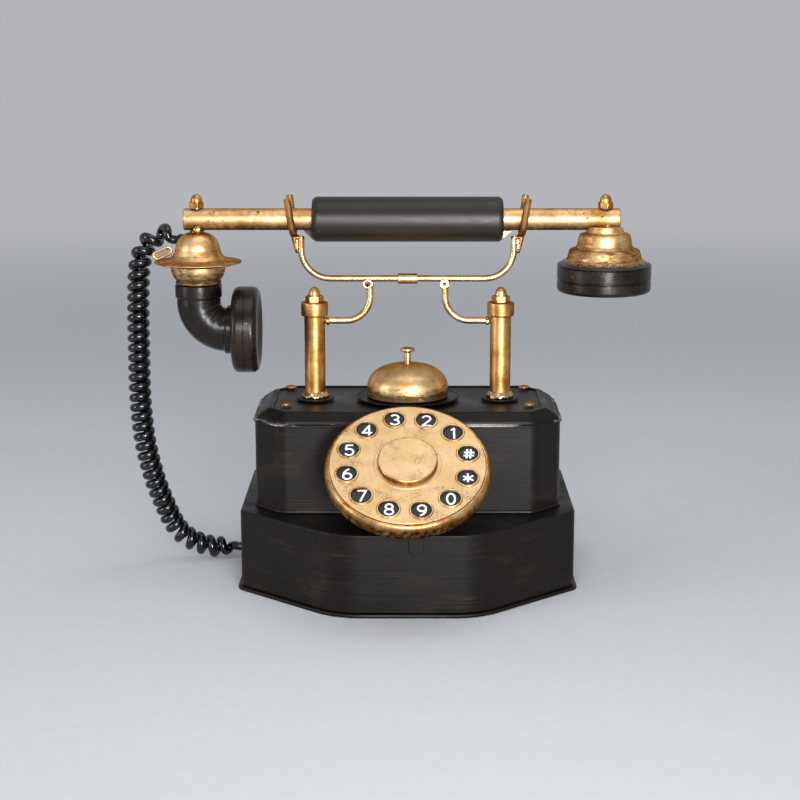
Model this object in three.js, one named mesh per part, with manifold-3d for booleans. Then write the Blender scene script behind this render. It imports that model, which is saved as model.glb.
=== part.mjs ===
// A desk telephone of the antique kind: a two-tier sheet-metal case, a tilted dial, a bell with a
// push button, two posts that carry a forked cradle, and a tube handset on a curly cord.
// Millimetres, +Z up, +Y to the back, origin at the centre of the case's underside.
import * as THREE from 'three';
import { mergeVertices } from 'three/addons/utils/BufferGeometryUtils.js';
import Module from 'manifold-3d';

// ---------------------------------------------------------------- driving dimensions
const SEAT = 0.3; // gap between pieces that rest on each other
const RUN = 0.4; // gap round a piece that turns or slides
const SHEET = 1.5; // sheet metal of the case and the pressed shells

// Lower tier: straight sides and back, a front that runs out to a blunt nose.
const LOWER_WIDTH = 230;
const LOWER_BACK_LENGTH = 90;
const LOWER_FRONT_LENGTH = 90;
const SHOULDER = 30; // the sides end this far in front of the centre
const NOSE_WIDTH = 94; // straight middle of the front
const NOSE_ROUND = 42;
const SHOULDER_ROUND = 7;
const LOWER_CORNER = 8;
const LOWER_TOP = 56.6;
const PLATE_THICK = 2.8;
const FOOT_LIP = 2.4; // the base plate's rolled edge stands this far out

// Upper tier and lid.
const UPPER_WIDTH = 210;
const UPPER_FRONT = 37.5;
const UPPER_BACK = 70;
const UPPER_CUT_X = 18; // its cut corners
const UPPER_CUT_Y = 19;
const UPPER_ROUND = 12;
const UPPER_TOP = 116.4;
const SEAM = 0.9; // folded seam round the upper tier's foot
const SEAM_HEIGHT = 2.2;
const LID_OVERHANG = 1.2;
const LID_LIP = 1.7;
const LID_LIP_EDGE = 0.3; // the broken corner of its lip
const LID_BEVEL = 12;
const LID_TOP = 126;
const RIVET_SIDE_GAP = 21; // from the upper tier's sides, front and back to the rivets
const RIVET_FRONT_GAP = 29.5;
const RIVET_BACK_GAP = 20;
const RIVET_R = 4;
const RIVET_HEIGHT = 1.7;
const RIVET_SHANK_R = 1.6;

// Posts.
const POST_SPAN = 129.5; // between the two posts' centres
const POST_Y = 14;
const POST_R = 7.25;
const POST_WALL = 2;
const POST_FOOT_R = 9.6;
const POST_FOOT_HEIGHT = 4;
const WASHER_R = 13.5;
const WASHER_THICK = 0.8;
const EDGE_BREAK = 0.8; // chamfer of the turned pieces' edges
const COLLAR_R = 9.35;
const COLLAR_LOW = 185;
const COLLAR_HEIGHT = 9.5;
const POST_BOLT_R = 3;
const POST_BOLT_HEAD = 3.5;
const POST_BOLT_HEAD_R = 5.4;
const POST_NUT_ACROSS = 11;
const POST_NUT_HEX = 4.4;
const POST_NUT_DOME_R = 4.1;
const POST_NUT_DOME = 6;

// Cradle: arms, cross rods, sleeve and forks.
const ARM_R = 2.3;
const ARM_Z = 181.5;
const ARM_BEND = 17;
const ARM_TOP_X = 26;
const CROSS_R = 3.1;
const CROSS_BORE = 1.1;
const CROSS_LENGTH = 10;
const CROSS_NOTCH = 1.9; // how deep a rail lies in its cross tube
const RAIL_R = 2.2;
const RAIL_Z = 211;
const RAIL_BEND = 20;
const RAIL_TURN_X = 73.4; // the rails turn upright at this distance from the middle
const RAIL_END_Z = 240.5;
const SLEEVE_LENGTH = 13.5;
const SLEEVE_R = 3.65;
const FORK_R = 2.25;
const FORK_LOW_Z = 242; // the rod's middle where it runs round under the tube
const FORK_OUT = 7.1; // from the rail's upright end out to the fork
const FORK_HALF_ANGLE = 15; // degrees between each prong and upright
const FORK_LEAN = 9;
const FORK_TIP_Z = 267.5;
const FORK_FOOT_R = 1.9;
const FORK_FOOT_DROP = 12.4;
const WEB_HEIGHT = 8.5;
const WEB_RISE = 1.5; // from the foot's lower end up to the web
const WEB_THICK = 2.2;

// Bell on the lid.
const BELL_Y = 16;
const DISH_R = 36;
const DISH_THICK = 1;
const DISH_LIP = 0.9;
const GONG_R = 28.5;
const GONG_WALL = 1.2;
const GONG_SKIRT = 4;
const GONG_DOME = 18.5;
const GONG_FLAT_R = 7; // its flat crown
const GONG_FULLNESS = 0.82; // below 1 the dome's shoulder is fuller than a circle's
const GONG_LIFT = 1; // the gong's rim hangs this far above the dish
const STEM_R = 2.3;
const GUIDE_R = 3.5; // the tube that the stem slides in
const GUIDE_FOOT_R = 5.4;
const BUTTON_R = 5.1;
const BUTTON_THICK = 2.2;
const BUTTON_RISE = 8.6; // from the gong's top to the underside of the button
const PRESS_STROKE = 2;
const PRESS_TIP_R = 1;
const RETURN_SPRING = 4.8; // height of the spring round the stem's tip
const LEVER_THICK = 1.2;
const LEVER_WIDTH = 2.4;
const LEVER_HEIGHT = 7; // above the dish
const LEVER_PIVOT_X = 8;
const HAMMER_R = 3;
const HAMMER_CLEAR = 1.6; // between the resting hammer and the gong's skirt
const PIVOT_R = 0.8;
const EAR_THICK = 0.8;

// Dial, tilted towards the user.
const DIAL_TILT = 34; // up from flat
const DIAL_Y = -87.4;
const PAN_R = 54.4;
const PAN_DEPTH = 15.5;
const PAN_WALL = 2;
const PAN_BOSS_R = 6.6;
const PAN_BOSS = 3.5;
const SPINDLE_PAD = 0.5; // the spindle's seat above the pan's floor
const RIM_ROUND = 7;
const WHEEL_R = 50.6;
const WHEEL_CLEAR = 0.8; // between the wheel's edge and the pan
const WHEEL_THICK = 1;
const HOLE_COUNT = 12;
const HOLE_R = 6.7;
const HOLE_PITCH_R = 40.4;
const HOLE_START = 12.5; // degrees from +X to the first hole
const EYELET_R = 8.1;
const EYELET_RISE = 0.8;
const PLATE_GAP = 0.4; // between the wheel and the number plate
const NUMBER_PLATE = 1;
const CAP_R = 19.5;
const CAP_RISE = 3.6;
const CAP_STEP_R = 22;
const CAP_STEP = 0.5;
const SPINDLE_R = 3;
const WHEEL_PIN_R = 2.25;
const FLANGE = 1.2;
const SPRING_TURNS = 3.5;
const SPRING_STRIP = 0.5;
const SPRING_HEIGHT = 4;
const SPRING_OUT_R = 19;
const HOOK_R = 1.1;
const STRAP_X = 5.5;
const STRAP_WIDTH = 9.8;
const STRAP_THICK = 2;
const STRAP_LOW_Z = 43;
const STRAP_TONGUE = 16;

// Handset.
const TUBE_R = 7.5;
const TUBE_WALL = 1.5;
const TUBE_PAST_MOUTH = 9; // from the mouthpiece's axis to the tube's end
const TUBE_PAST_EAR = 10; // from the earpiece's axis to the tube's other end
const GRIP_LENGTH = 131;
const GRIP_R = 15.5;
const GRIP_CHAMFER = 3.5;
const GRIP_GUSSET = 6;
const GUSSET_WIDTH = 5;
const MOUTH_X = -145;
const EAR_X = 136;
const STUD_R = 2.5;
const STUD_HEAD_R = 4.5;
const STUD_HEAD = 2.4;
const STUD_NUT_ACROSS = 9.2;
const STUD_NUT_HEX = 4.8;
const STUD_NUT_DOME_R = 3.9;
const STUD_NUT_DOME = 4.6;
const SPACER_R = 5;
const SPACER = 1.2;
const BRIM_R = 30.25;
const BRIM_DROP = 19.8; // from the dome's top to the brim's edge
const BRIM_EDGE = 0.7;
const BRIM_CURL = 0.9; // its top is this much lower at the edge
const BRIM_CURL_WIDTH = 5;
const DOME_R = 15.5;
const DOME_HEIGHT = 13;
const DOME_FLAT_R = 5; // its flat crown
const CUP_TOP_R = 18.8;
const CUP_FOOT_R = 14.4;
const CUP_HEIGHT = 12.8;
const CUP_BEAD = 1.4;
const ELBOW_R = 15.2;
const ELBOW_SOCKET_R = 16.2;
const ELBOW_SOCKET = 9;
const ELBOW_BORE = 10.5;
const ELBOW_BEND = 20;
const ELBOW_DROP = 12; // straight length above the bend
const ELBOW_EXIT_R = 17;
const ELBOW_STUB = 3.3; // straight length past the bend
const CREASE = 0.9; // depth of the folds on the inside of the elbow's bend
const MOUTH_CAP_R = 30;
const MOUTH_CAP_DEPTH = 18.2;
const CAP_EDGE = 4.5;
const CAP_WALL = 2;
const DISH_DEPTH = 2.2;
const SOUND_HOLE_R = 1.4;
const SOUND_RING_R = 9;
const SOUND_HOLES = 6;
const CAPSULE_DEPTH = 8;
const EAR_RING_R = 13;
const EAR_SADDLE = 3; // the ring's top reaches this far up round the tube
const EAR_RING = 4.9;
const EAR_STEP1_R = 17.4;
const EAR_STEP1_FLARE = 1.9;
const EAR_STEP1 = 10.2;
const EAR_STEP2_R = 24.4;
const EAR_STEP2_FLARE = 1.8;
const EAR_STEP2 = 8.8;
const EAR_SKIRT_R = 32.9;
const EAR_SKIRT = 3.4;
const EAR_CAP_R = 32.8;
const EAR_CAP_HEIGHT = 18.1;
const EAR_GROOVE = 0.8;

// Curly cord and its fittings.
const WIRE_R = 3.1;
const CURL_R = 5; // from the cord's middle to the wire's middle
const CURL_PITCH = 7;
const CORD_LEAD = 5; // straight wire at each end
const CURL_STEPS = 8;
const WIRE_SIDES = 5;
const CORD_Y = 45;
const CORD_Z = CURL_R + WIRE_R + SEAT;
const GLAND_R = 4.6;
const GLAND_OUT = 3;
const GLAND_SHANK_R = 3.2;
const OUTLET_R = 4.2;
const OUTLET_LENGTH = 4;
const OUTLET_TURN = 139; // degrees from +X, round the mouthpiece
const OUTLET_DROP = 6.3; // below the dome's top
const LINK_LENGTH = 15;
const LINK_WIDTH = 7;
const LINK_WIRE = 1.6;
const LINK_OUT = 24.2; // from the mouthpiece's axis
const LINK_FORE = 1; // in front of that axis
const LINK_LEAN = 24;
const LINK_RISE = 1.1; // of its lower side above the brim, where it leans on its end

// ---------------------------------------------------------------- finishes
const paint = (color, roughness, metalness) =>
  new THREE.MeshStandardMaterial({ color, roughness, metalness });
const antiqueGold = paint(0xc08a45, 0.42, 0.85);
const blackPaint = paint(0x262220, 0.45, 0.3);
const gripBlack = paint(0x2b2725, 0.5, 0.1);
const mouldedBlack = paint(0x1d1a18, 0.45, 0);
const cordBlack = paint(0x0b0b0c, 0.2, 0);
const numberBlack = paint(0x1c1c20, 0.6, 0);
const plainSteel = paint(0x8c8c8e, 0.4, 0.9);

const telephone = new THREE.Group();
telephone.name = 'telephone';

// ---------------------------------------------------------------- tools for solids
const wasm = await Module();
wasm.setup();

/** One closed, outward-facing surface: shared corners merged and slivers of no area dropped. */
function closed(geometry) {
  const bare = geometry.clone();
  bare.deleteAttribute('normal');
  bare.deleteAttribute('uv');
  const merged = mergeVertices(bare, 1e-4);
  const spot = merged.attributes.position;
  const corners = merged.index.array;
  const kept = [];
  let volume = 0;
  for (let i = 0; i < corners.length; i += 3) {
    const [a, b, c] = [corners[i], corners[i + 1], corners[i + 2]];
    if (a === b || b === c || c === a) continue;
    kept.push(a, b, c);
    const p = new THREE.Vector3().fromBufferAttribute(spot, a);
    const q = new THREE.Vector3().fromBufferAttribute(spot, b);
    const r = new THREE.Vector3().fromBufferAttribute(spot, c);
    volume += p.dot(q.cross(r));
  }
  if (volume < 0) kept.reverse();
  const result = new THREE.BufferGeometry();
  result.setAttribute('position', spot);
  result.setIndex(kept);
  return result;
}

function toSolid(geometry) {
  const shape = closed(geometry);
  return new wasm.Manifold(new wasm.Mesh({
    numProp: 3,
    vertProperties: new Float32Array(shape.attributes.position.array),
    triVerts: new Uint32Array(shape.index.array),
  }));
}

function toGeometry(solid) {
  const mesh = solid.getMesh();
  const result = new THREE.BufferGeometry();
  result.setAttribute('position', new THREE.BufferAttribute(new Float32Array(mesh.vertProperties), 3));
  result.setIndex(Array.from(mesh.triVerts));
  return result;
}

const cut = (geometry, ...tools) =>
  toGeometry(tools.reduce((solid, tool) => solid.subtract(toSolid(tool)), toSolid(geometry)));
const join = (geometry, ...others) =>
  toGeometry(others.reduce((solid, other) => solid.add(toSolid(other)), toSolid(geometry)));

/** Put a named piece into a group. */
function piece(name, geometry, material, group = telephone) {
  const mesh = new THREE.Mesh(closed(geometry), material);
  mesh.name = name;
  mesh.geometry.computeVertexNormals();
  group.add(mesh);
  return mesh;
}

const rad = (degrees) => THREE.MathUtils.degToRad(degrees);
const v2 = (x, y) => new THREE.Vector2(x, y);
const v3 = (x, y, z) => new THREE.Vector3(x, y, z);

/** A turned solid about Z. The profile is [radius, height] points, closed or from axis to axis. */
function turned(profile, segments) {
  const geometry = new THREE.LatheGeometry(profile.map(([r, z]) => v2(r, z)), segments);
  return geometry.rotateX(Math.PI / 2);
}

/** A turned ring: its profile is closed on itself. */
const turnedRing = (profile, segments) => turned([...profile, profile[0]], segments);

/** A round bar along Z from low to high. */
function bar(radius, low, high, segments = 16) {
  return new THREE.CylinderGeometry(radius, radius, high - low, segments)
    .rotateX(Math.PI / 2).translate(0, 0, (low + high) / 2);
}

/** A tube along Z from low to high. */
const pipe = (outer, inner, low, high, segments = 20) =>
  turnedRing([[inner, low], [outer, low], [outer, high], [inner, high]], segments);

/** Points of an arc in a profile, from one angle to another. */
function arc(cx, cy, rx, ry, from, to, steps) {
  return Array.from({ length: steps + 1 }, (_, i) => {
    const angle = rad(from + (to - from) * i / steps);
    return [cx + rx * Math.cos(angle), cy + ry * Math.sin(angle)];
  });
}

/** The skin over rings of equally many points, closed by its two ends or, as a ring, on itself. */
function skinned(rings, ring = false) {
  const count = rings[0].length;
  const faces = [];
  const pairs = ring ? rings.length : rings.length - 1;
  for (let i = 0; i < pairs; i += 1) {
    const low = i * count;
    const high = ((i + 1) % rings.length) * count;
    for (let k = 0; k < count; k += 1) {
      const next = (k + 1) % count;
      faces.push(low + k, low + next, high + next, low + k, high + next, high + k);
    }
  }
  const top = (rings.length - 1) * count;
  for (let k = 1; k < count - 1 && !ring; k += 1) faces.push(0, k + 1, k, top, top + k, top + k + 1);
  const geometry = new THREE.BufferGeometry().setFromPoints(rings.flat());
  geometry.setIndex(faces);
  return geometry;
}

/** Move each side of a convex outline in by a distance. Corners are [x, y, rounding]. */
function inset(corners, distance) {
  const side = (i) => {
    const [x0, y0] = corners[i % corners.length];
    const [x1, y1] = corners[(i + 1) % corners.length];
    const along = v2(x1 - x0, y1 - y0).normalize();
    return { from: v2(x0 - along.y * distance, y0 + along.x * distance), along };
  };
  return corners.map((corner, i) => {
    const before = side(i + corners.length - 1);
    const after = side(i);
    const between = after.from.clone().sub(before.from);
    const reach = between.cross(after.along) / before.along.cross(after.along);
    const spot = before.from.clone().addScaledVector(before.along, reach);
    return [spot.x, spot.y, Math.max(corner[2] - distance, 0.4)];
  });
}

/** The outline's points, anticlockwise, with each corner rounded in a few chords. */
function rounded(corners, steps) {
  return corners.flatMap(([x, y, radius], i) => {
    const [px, py] = corners[(i + corners.length - 1) % corners.length];
    const [nx, ny] = corners[(i + 1) % corners.length];
    const inward = v2(x - px, y - py).normalize();
    const onward = v2(nx - x, ny - y).normalize();
    const turn = Math.acos(THREE.MathUtils.clamp(inward.dot(onward), -1, 1));
    const reach = radius * Math.tan(turn / 2);
    const centre = v2(x, y).addScaledVector(inward, -reach)
      .add(v2(-inward.y, inward.x).multiplyScalar(radius));
    const start = Math.atan2(-inward.x, inward.y);
    return Array.from({ length: steps + 1 }, (_, k) => {
      const angle = start + turn * k / steps;
      return v2(centre.x + radius * Math.cos(angle), centre.y + radius * Math.sin(angle));
    });
  });
}

/**
 * A pressed or folded body over a convex plan. Each level is [inset, height]; levels run from the
 * first lid to the last, the inside before the outside, or round a ring when it is closed.
 */
function overPlan(corners, levels, ring = false, steps = 2) {
  return skinned(levels.map(([distance, z]) =>
    rounded(inset(corners, distance), steps).map((p) => v3(p.x, p.y, z))), ring);
}

const BEND_STEP = 22; // degrees of a rod's bend in one step

/** Straight runs with a circular bend at each inner corner. A run is one step, a bend four or more. */
class BentPath extends THREE.Curve {
  constructor(spots, bends) {
    super();
    this.stretches = [];
    let from = spots[0];
    bends.forEach((radius, i) => {
      const corner = spots[i + 1];
      const inward = corner.clone().sub(spots[i]).normalize();
      const onward = spots[i + 2].clone().sub(corner).normalize();
      const turn = inward.angleTo(onward);
      const reach = radius * Math.tan(turn / 2);
      const start = corner.clone().addScaledVector(inward, -reach);
      const side = onward.clone().addScaledVector(inward, -onward.dot(inward)).normalize();
      const centre = start.clone().addScaledVector(side, radius);
      this.addRun(from, start);
      this.stretches.push({
        steps: Math.max(4, Math.round(turn / rad(BEND_STEP))),
        at: (share) => centre.clone().addScaledVector(side, -radius * Math.cos(turn * share))
          .addScaledVector(inward, radius * Math.sin(turn * share)),
      });
      from = corner.clone().addScaledVector(onward, reach);
    });
    this.addRun(from, spots[spots.length - 1]);
    this.steps = this.stretches.reduce((sum, { steps }) => sum + steps, 0);
  }

  addRun(from, to) {
    this.stretches.push({ steps: 1, at: (share) => from.clone().lerp(to, share) });
  }

  getPoint(t, target = new THREE.Vector3()) {
    let along = t * this.steps;
    const stretch = this.stretches.find(({ steps }, i) => {
      if (along <= steps || i === this.stretches.length - 1) return true;
      along -= steps;
      return false;
    });
    return target.copy(stretch.at(along / stretch.steps));
  }

  getUtoTmapping(u) {
    return u;
  }
}

/** A round rod bent along straight runs and circular bends. */
function rod(spots, bends, radius, sides = 8) {
  const section = new THREE.Shape(Array.from({ length: sides }, (_, i) => {
    const angle = 2 * Math.PI * i / sides;
    return v2(radius * Math.cos(angle), radius * Math.sin(angle));
  }));
  const path = new BentPath(spots, bends);
  return new THREE.ExtrudeGeometry(section, { steps: path.steps, extrudePath: path });
}

/** A plate of constant thickness over a shape, from z 0 up. */
const plate = (shape, depth, bevel = 0) => new THREE.ExtrudeGeometry(shape, {
  depth: depth - 2 * bevel, bevelEnabled: bevel > 0, bevelThickness: bevel, bevelSize: bevel,
  bevelOffset: -bevel, bevelSegments: 1, curveSegments: 8,
}).translate(0, 0, bevel);

/** A domed nut standing on z 0, bored from below for its bolt. */
function acornNut(across, hexHeight, domeRadius, domeHeight, boltRadius) {
  const hex = new THREE.CylinderGeometry(across / Math.sqrt(3), across / Math.sqrt(3), hexHeight, 6)
    .rotateX(Math.PI / 2).translate(0, 0, hexHeight / 2);
  const dome = turned([[0, hexHeight / 2], ...arc(0, hexHeight, domeRadius, domeHeight, 0, 90, 3)], 10);
  return cut(join(hex, dome), bar(boltRadius + SEAT, -1, hexHeight + domeHeight / 3, 12));
}

// ---------------------------------------------------------------- case
const lowerPlan = [
  [-LOWER_WIDTH / 2, LOWER_BACK_LENGTH, LOWER_CORNER],
  [-LOWER_WIDTH / 2, -SHOULDER, SHOULDER_ROUND],
  [-NOSE_WIDTH / 2, -LOWER_FRONT_LENGTH, NOSE_ROUND],
  [NOSE_WIDTH / 2, -LOWER_FRONT_LENGTH, NOSE_ROUND],
  [LOWER_WIDTH / 2, -SHOULDER, SHOULDER_ROUND],
  [LOWER_WIDTH / 2, LOWER_BACK_LENGTH, LOWER_CORNER],
];
const upperPlan = [
  [-UPPER_WIDTH / 2, UPPER_BACK - UPPER_CUT_Y, UPPER_ROUND],
  [-UPPER_WIDTH / 2, UPPER_CUT_Y - UPPER_FRONT, UPPER_ROUND],
  [UPPER_CUT_X - UPPER_WIDTH / 2, -UPPER_FRONT, UPPER_ROUND],
  [UPPER_WIDTH / 2 - UPPER_CUT_X, -UPPER_FRONT, UPPER_ROUND],
  [UPPER_WIDTH / 2, UPPER_CUT_Y - UPPER_FRONT, UPPER_ROUND],
  [UPPER_WIDTH / 2, UPPER_BACK - UPPER_CUT_Y, UPPER_ROUND],
  [UPPER_WIDTH / 2 - UPPER_CUT_X, UPPER_BACK, UPPER_ROUND],
  [UPPER_CUT_X - UPPER_WIDTH / 2, UPPER_BACK, UPPER_ROUND],
];
const postSpots = [-POST_SPAN / 2, POST_SPAN / 2];
const lowerFoot = PLATE_THICK + SEAT;
const upperFoot = LOWER_TOP + SEAT;
const lidFoot = UPPER_TOP + SEAT;
const lipTop = lidFoot + LID_LIP;

function buildCase() {
  const lip = FOOT_LIP;
  piece('base_plate', overPlan(lowerPlan, [
    [1 - lip, 0], [-lip, 0.9], [-lip, PLATE_THICK - 0.9], [1 - lip, PLATE_THICK],
  ]), blackPaint);

  const lowerShell = overPlan(lowerPlan, [
    [SHEET, LOWER_TOP - SHEET], [SHEET, lowerFoot], [0, lowerFoot],
    [0, LOWER_TOP - 1.2], [0.4, LOWER_TOP - 0.35], [1.3, LOWER_TOP],
  ]);
  const glandHole = bar(GLAND_SHANK_R + SEAT, -4 * SHEET, 4 * SHEET)
    .rotateY(Math.PI / 2).translate(-LOWER_WIDTH / 2, CORD_Y, CORD_Z);
  piece('lower_case', cut(lowerShell, glandHole), blackPaint);

  piece('upper_case', overPlan(upperPlan, [
    [-SEAM, upperFoot], [-SEAM, upperFoot + SEAM_HEIGHT - SEAM], [0, upperFoot + SEAM_HEIGHT],
    [0, UPPER_TOP], [SHEET, UPPER_TOP], [SHEET, upperFoot],
  ], true), blackPaint);

  const bevel = arc(0, 0, 1, 1, 0, 90, 3).map(([c, s]) =>
    [LID_BEVEL - (LID_BEVEL - 1) * c, lipTop + (LID_TOP - lipTop) * s]);
  const lidShell = overPlan(upperPlan, [
    [LID_BEVEL + SHEET, LID_TOP - SHEET], [2 * SHEET, lipTop - SHEET / 2], [2 * SHEET, lidFoot],
    [-LID_OVERHANG, lidFoot], [-LID_OVERHANG, lipTop - LID_LIP_EDGE], [-LID_OVERHANG / 2, lipTop], ...bevel,
  ]);
  const boltHoles = postSpots.map((x) =>
    bar(POST_BOLT_R + SEAT, lidFoot, LID_TOP + 1).translate(x, POST_Y, 0));
  const rivetHoles = rivetSpots().map(([x, y]) =>
    bar(RIVET_SHANK_R + SEAT, lidFoot, LID_TOP + 1, 10).translate(x, y, 0));
  piece('lid', cut(lidShell, ...boltHoles, ...rivetHoles), blackPaint);

  rivetSpots().forEach(([x, y, name]) => {
    const head = LID_TOP + SEAT;
    const rivet = turned([
      [0, LID_TOP - SHEET - 1], [RIVET_SHANK_R, LID_TOP - SHEET - 1], [RIVET_SHANK_R, head], [RIVET_R, head],
      ...arc(0, head + 0.4, RIVET_R, RIVET_HEIGHT - 0.4, 0, 90, 3),
    ], 10);
    piece(`lid_rivet_${name}`, rivet.translate(x, y, 0), antiqueGold);
  });

  const glandFace = LOWER_WIDTH / 2 + SEAT;
  const gland = turned([
    [0, -SHEET - 3], [GLAND_SHANK_R, -SHEET - 3], [GLAND_SHANK_R, SEAT], [GLAND_R, SEAT],
    [GLAND_R, GLAND_OUT - EDGE_BREAK], [GLAND_R - EDGE_BREAK, GLAND_OUT], [0, GLAND_OUT],
  ], 12);
  piece('cord_gland', gland.rotateY(-Math.PI / 2)
    .translate(SEAT - glandFace, CORD_Y, CORD_Z), mouldedBlack);
}

function rivetSpots() {
  const x = UPPER_WIDTH / 2 - RIVET_SIDE_GAP;
  const front = RIVET_FRONT_GAP - UPPER_FRONT;
  const back = UPPER_BACK - RIVET_BACK_GAP;
  return [
    [-x, front, 'front_left'], [x, front, 'front_right'], [-x, back, 'back_left'], [x, back, 'back_right'],
  ];
}

// ---------------------------------------------------------------- posts and cradle
const washerTop = LID_TOP + SEAT + WASHER_THICK;
const collarTop = COLLAR_LOW + COLLAR_HEIGHT;

function buildPost(x, side) {
  const post = new THREE.Group();
  post.position.set(x, POST_Y, 0);
  telephone.add(post);
  piece(`post_washer_${side}`, pipe(WASHER_R, POST_BOLT_R + SEAT, LID_TOP + SEAT, washerTop, 18),
    blackPaint, post);

  const foot = washerTop + SEAT;
  const bore = POST_R - POST_WALL;
  piece(`post_${side}`, turnedRing([
    [bore, foot], [POST_FOOT_R, foot], [POST_FOOT_R, foot + 1.2],
    [POST_R + 0.6, foot + POST_FOOT_HEIGHT - 0.7], [POST_R, foot + POST_FOOT_HEIGHT],
    [POST_R, COLLAR_LOW - SEAT], [bore, COLLAR_LOW - SEAT],
  ], 16), antiqueGold, post);

  piece(`post_collar_${side}`, turnedRing([
    [POST_BOLT_R + SEAT, COLLAR_LOW], [COLLAR_R - EDGE_BREAK, COLLAR_LOW],
    [COLLAR_R, COLLAR_LOW + EDGE_BREAK],
    [COLLAR_R, collarTop - EDGE_BREAK], [COLLAR_R - EDGE_BREAK, collarTop], [POST_BOLT_R + SEAT, collarTop],
  ], 14), antiqueGold, post);

  const head = LID_TOP - SHEET - SEAT;
  const boltTop = collarTop + SEAT + POST_NUT_HEX;
  piece(`post_bolt_${side}`, turned([
    [0, head - POST_BOLT_HEAD], [POST_BOLT_HEAD_R, head - POST_BOLT_HEAD], [POST_BOLT_HEAD_R, head],
    [POST_BOLT_R, head], [POST_BOLT_R, boltTop], [0, boltTop],
  ], 12), plainSteel, post);

  piece(`post_nut_${side}`,
    acornNut(POST_NUT_ACROSS, POST_NUT_HEX, POST_NUT_DOME_R, POST_NUT_DOME, POST_BOLT_R)
      .translate(0, 0, collarTop + SEAT), antiqueGold, post);
}

// The rails lie in notches across the tops of the arms' cross tubes.
const crossZ = RAIL_Z - RAIL_R - CROSS_R + CROSS_NOTCH;

function buildArm(sign, side) {
  const start = v3(sign * (POST_SPAN / 2 - POST_R - SEAT), POST_Y, ARM_Z);
  const corner = v3(sign * ARM_TOP_X, POST_Y, ARM_Z);
  const top = v3(sign * ARM_TOP_X, POST_Y, crossZ);
  const arm = rod([start, corner, top], [ARM_BEND], ARM_R, 10);
  const crossTube = bar(CROSS_R, -CROSS_LENGTH / 2, CROSS_LENGTH / 2, 12)
    .rotateX(Math.PI / 2).translate(sign * ARM_TOP_X, POST_Y, crossZ);
  const crossBore = bar(CROSS_BORE, CROSS_LENGTH / 2 - 2.5, CROSS_LENGTH / 2 + 1, 8)
    .rotateX(Math.PI / 2).translate(sign * ARM_TOP_X, POST_Y, crossZ);
  const notch = bar(RAIL_R + SEAT, -2 * CROSS_R, 2 * CROSS_R, 10).rotateY(Math.PI / 2)
    .translate(sign * ARM_TOP_X, POST_Y, RAIL_Z);
  piece(`arm_${side}`, cut(join(arm, crossTube), crossBore, notch), antiqueGold);
}

function buildRail(sign, side) {
  const inner = v3(sign * SEAT, POST_Y, RAIL_Z);
  const corner = v3(sign * RAIL_TURN_X, POST_Y, RAIL_Z);
  const top = v3(sign * RAIL_TURN_X, POST_Y, RAIL_END_Z);
  piece(`cradle_rail_${side}`, rod([inner, corner, top], [RAIL_BEND], RAIL_R, 10), antiqueGold);
}

// Each fork is bent round the tube, and its prongs open a little towards the tips.
const forkRound = TUBE_R + FORK_R + SEAT;
const tubeZ = FORK_LOW_Z + forkRound;

function buildFork(sign, side) {
  const angle = rad(FORK_HALF_ANGLE);
  const meet = forkRound / Math.sin(angle) - forkRound;
  const rise = FORK_TIP_Z - FORK_LOW_Z;
  const spread = (rise + meet) * Math.tan(angle);
  const forkX = sign * (RAIL_TURN_X + FORK_OUT);
  const prongs = rod([v3(0, -spread, rise), v3(0, 0, -meet), v3(0, spread, rise)], [forkRound], FORK_R, 10)
    .rotateY(sign * rad(FORK_LEAN)).translate(forkX, POST_Y, FORK_LOW_Z);
  const railSide = sign * (RAIL_TURN_X + RAIL_R + SEAT);
  const footX = railSide + sign * FORK_FOOT_R;
  const footLow = FORK_LOW_Z - FORK_FOOT_DROP;
  const foot = rod([v3(forkX, POST_Y, FORK_LOW_Z), v3(footX, POST_Y, footLow)], [], FORK_FOOT_R, 8);
  // A small web fills the corner between the foot and the rail's upright end.
  const webLow = footLow + WEB_RISE;
  const along = (z) => footX + (forkX - footX) * (z - footLow) / FORK_FOOT_DROP;
  const web = plate(new THREE.Shape([
    v2(railSide, webLow), v2(along(webLow), webLow),
    v2(along(webLow + WEB_HEIGHT), webLow + WEB_HEIGHT), v2(railSide, webLow + WEB_HEIGHT),
  ]), WEB_THICK).rotateX(Math.PI / 2).translate(0, POST_Y + WEB_THICK / 2, 0);
  piece(`fork_${side}`, join(prongs, foot, web), antiqueGold);
}

function buildCradle() {
  [[-1, 'left'], [1, 'right']].forEach(([sign, side]) => {
    buildPost(sign * POST_SPAN / 2, side);
    buildArm(sign, side);
    buildRail(sign, side);
    buildFork(sign, side);
  });
  piece('cradle_sleeve', pipe(SLEEVE_R, RAIL_R + SEAT, -SLEEVE_LENGTH / 2, SLEEVE_LENGTH / 2)
    .rotateY(Math.PI / 2).translate(0, POST_Y, RAIL_Z), antiqueGold);
}

// ---------------------------------------------------------------- bell
const dishTop = SEAT + DISH_THICK;
const gongRim = dishTop + GONG_LIFT;
const gongTop = gongRim + GONG_SKIRT + GONG_DOME;
const guideTop = gongTop + 2 * SEAT;
const leverZ = dishTop + LEVER_HEIGHT;
const hammerX = GONG_R - GONG_WALL - HAMMER_R - HAMMER_CLEAR;
const leverTop = leverZ + LEVER_THICK / 2;
const ledgeTop = leverTop + 3 * SEAT + SHEET / 2;

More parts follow.
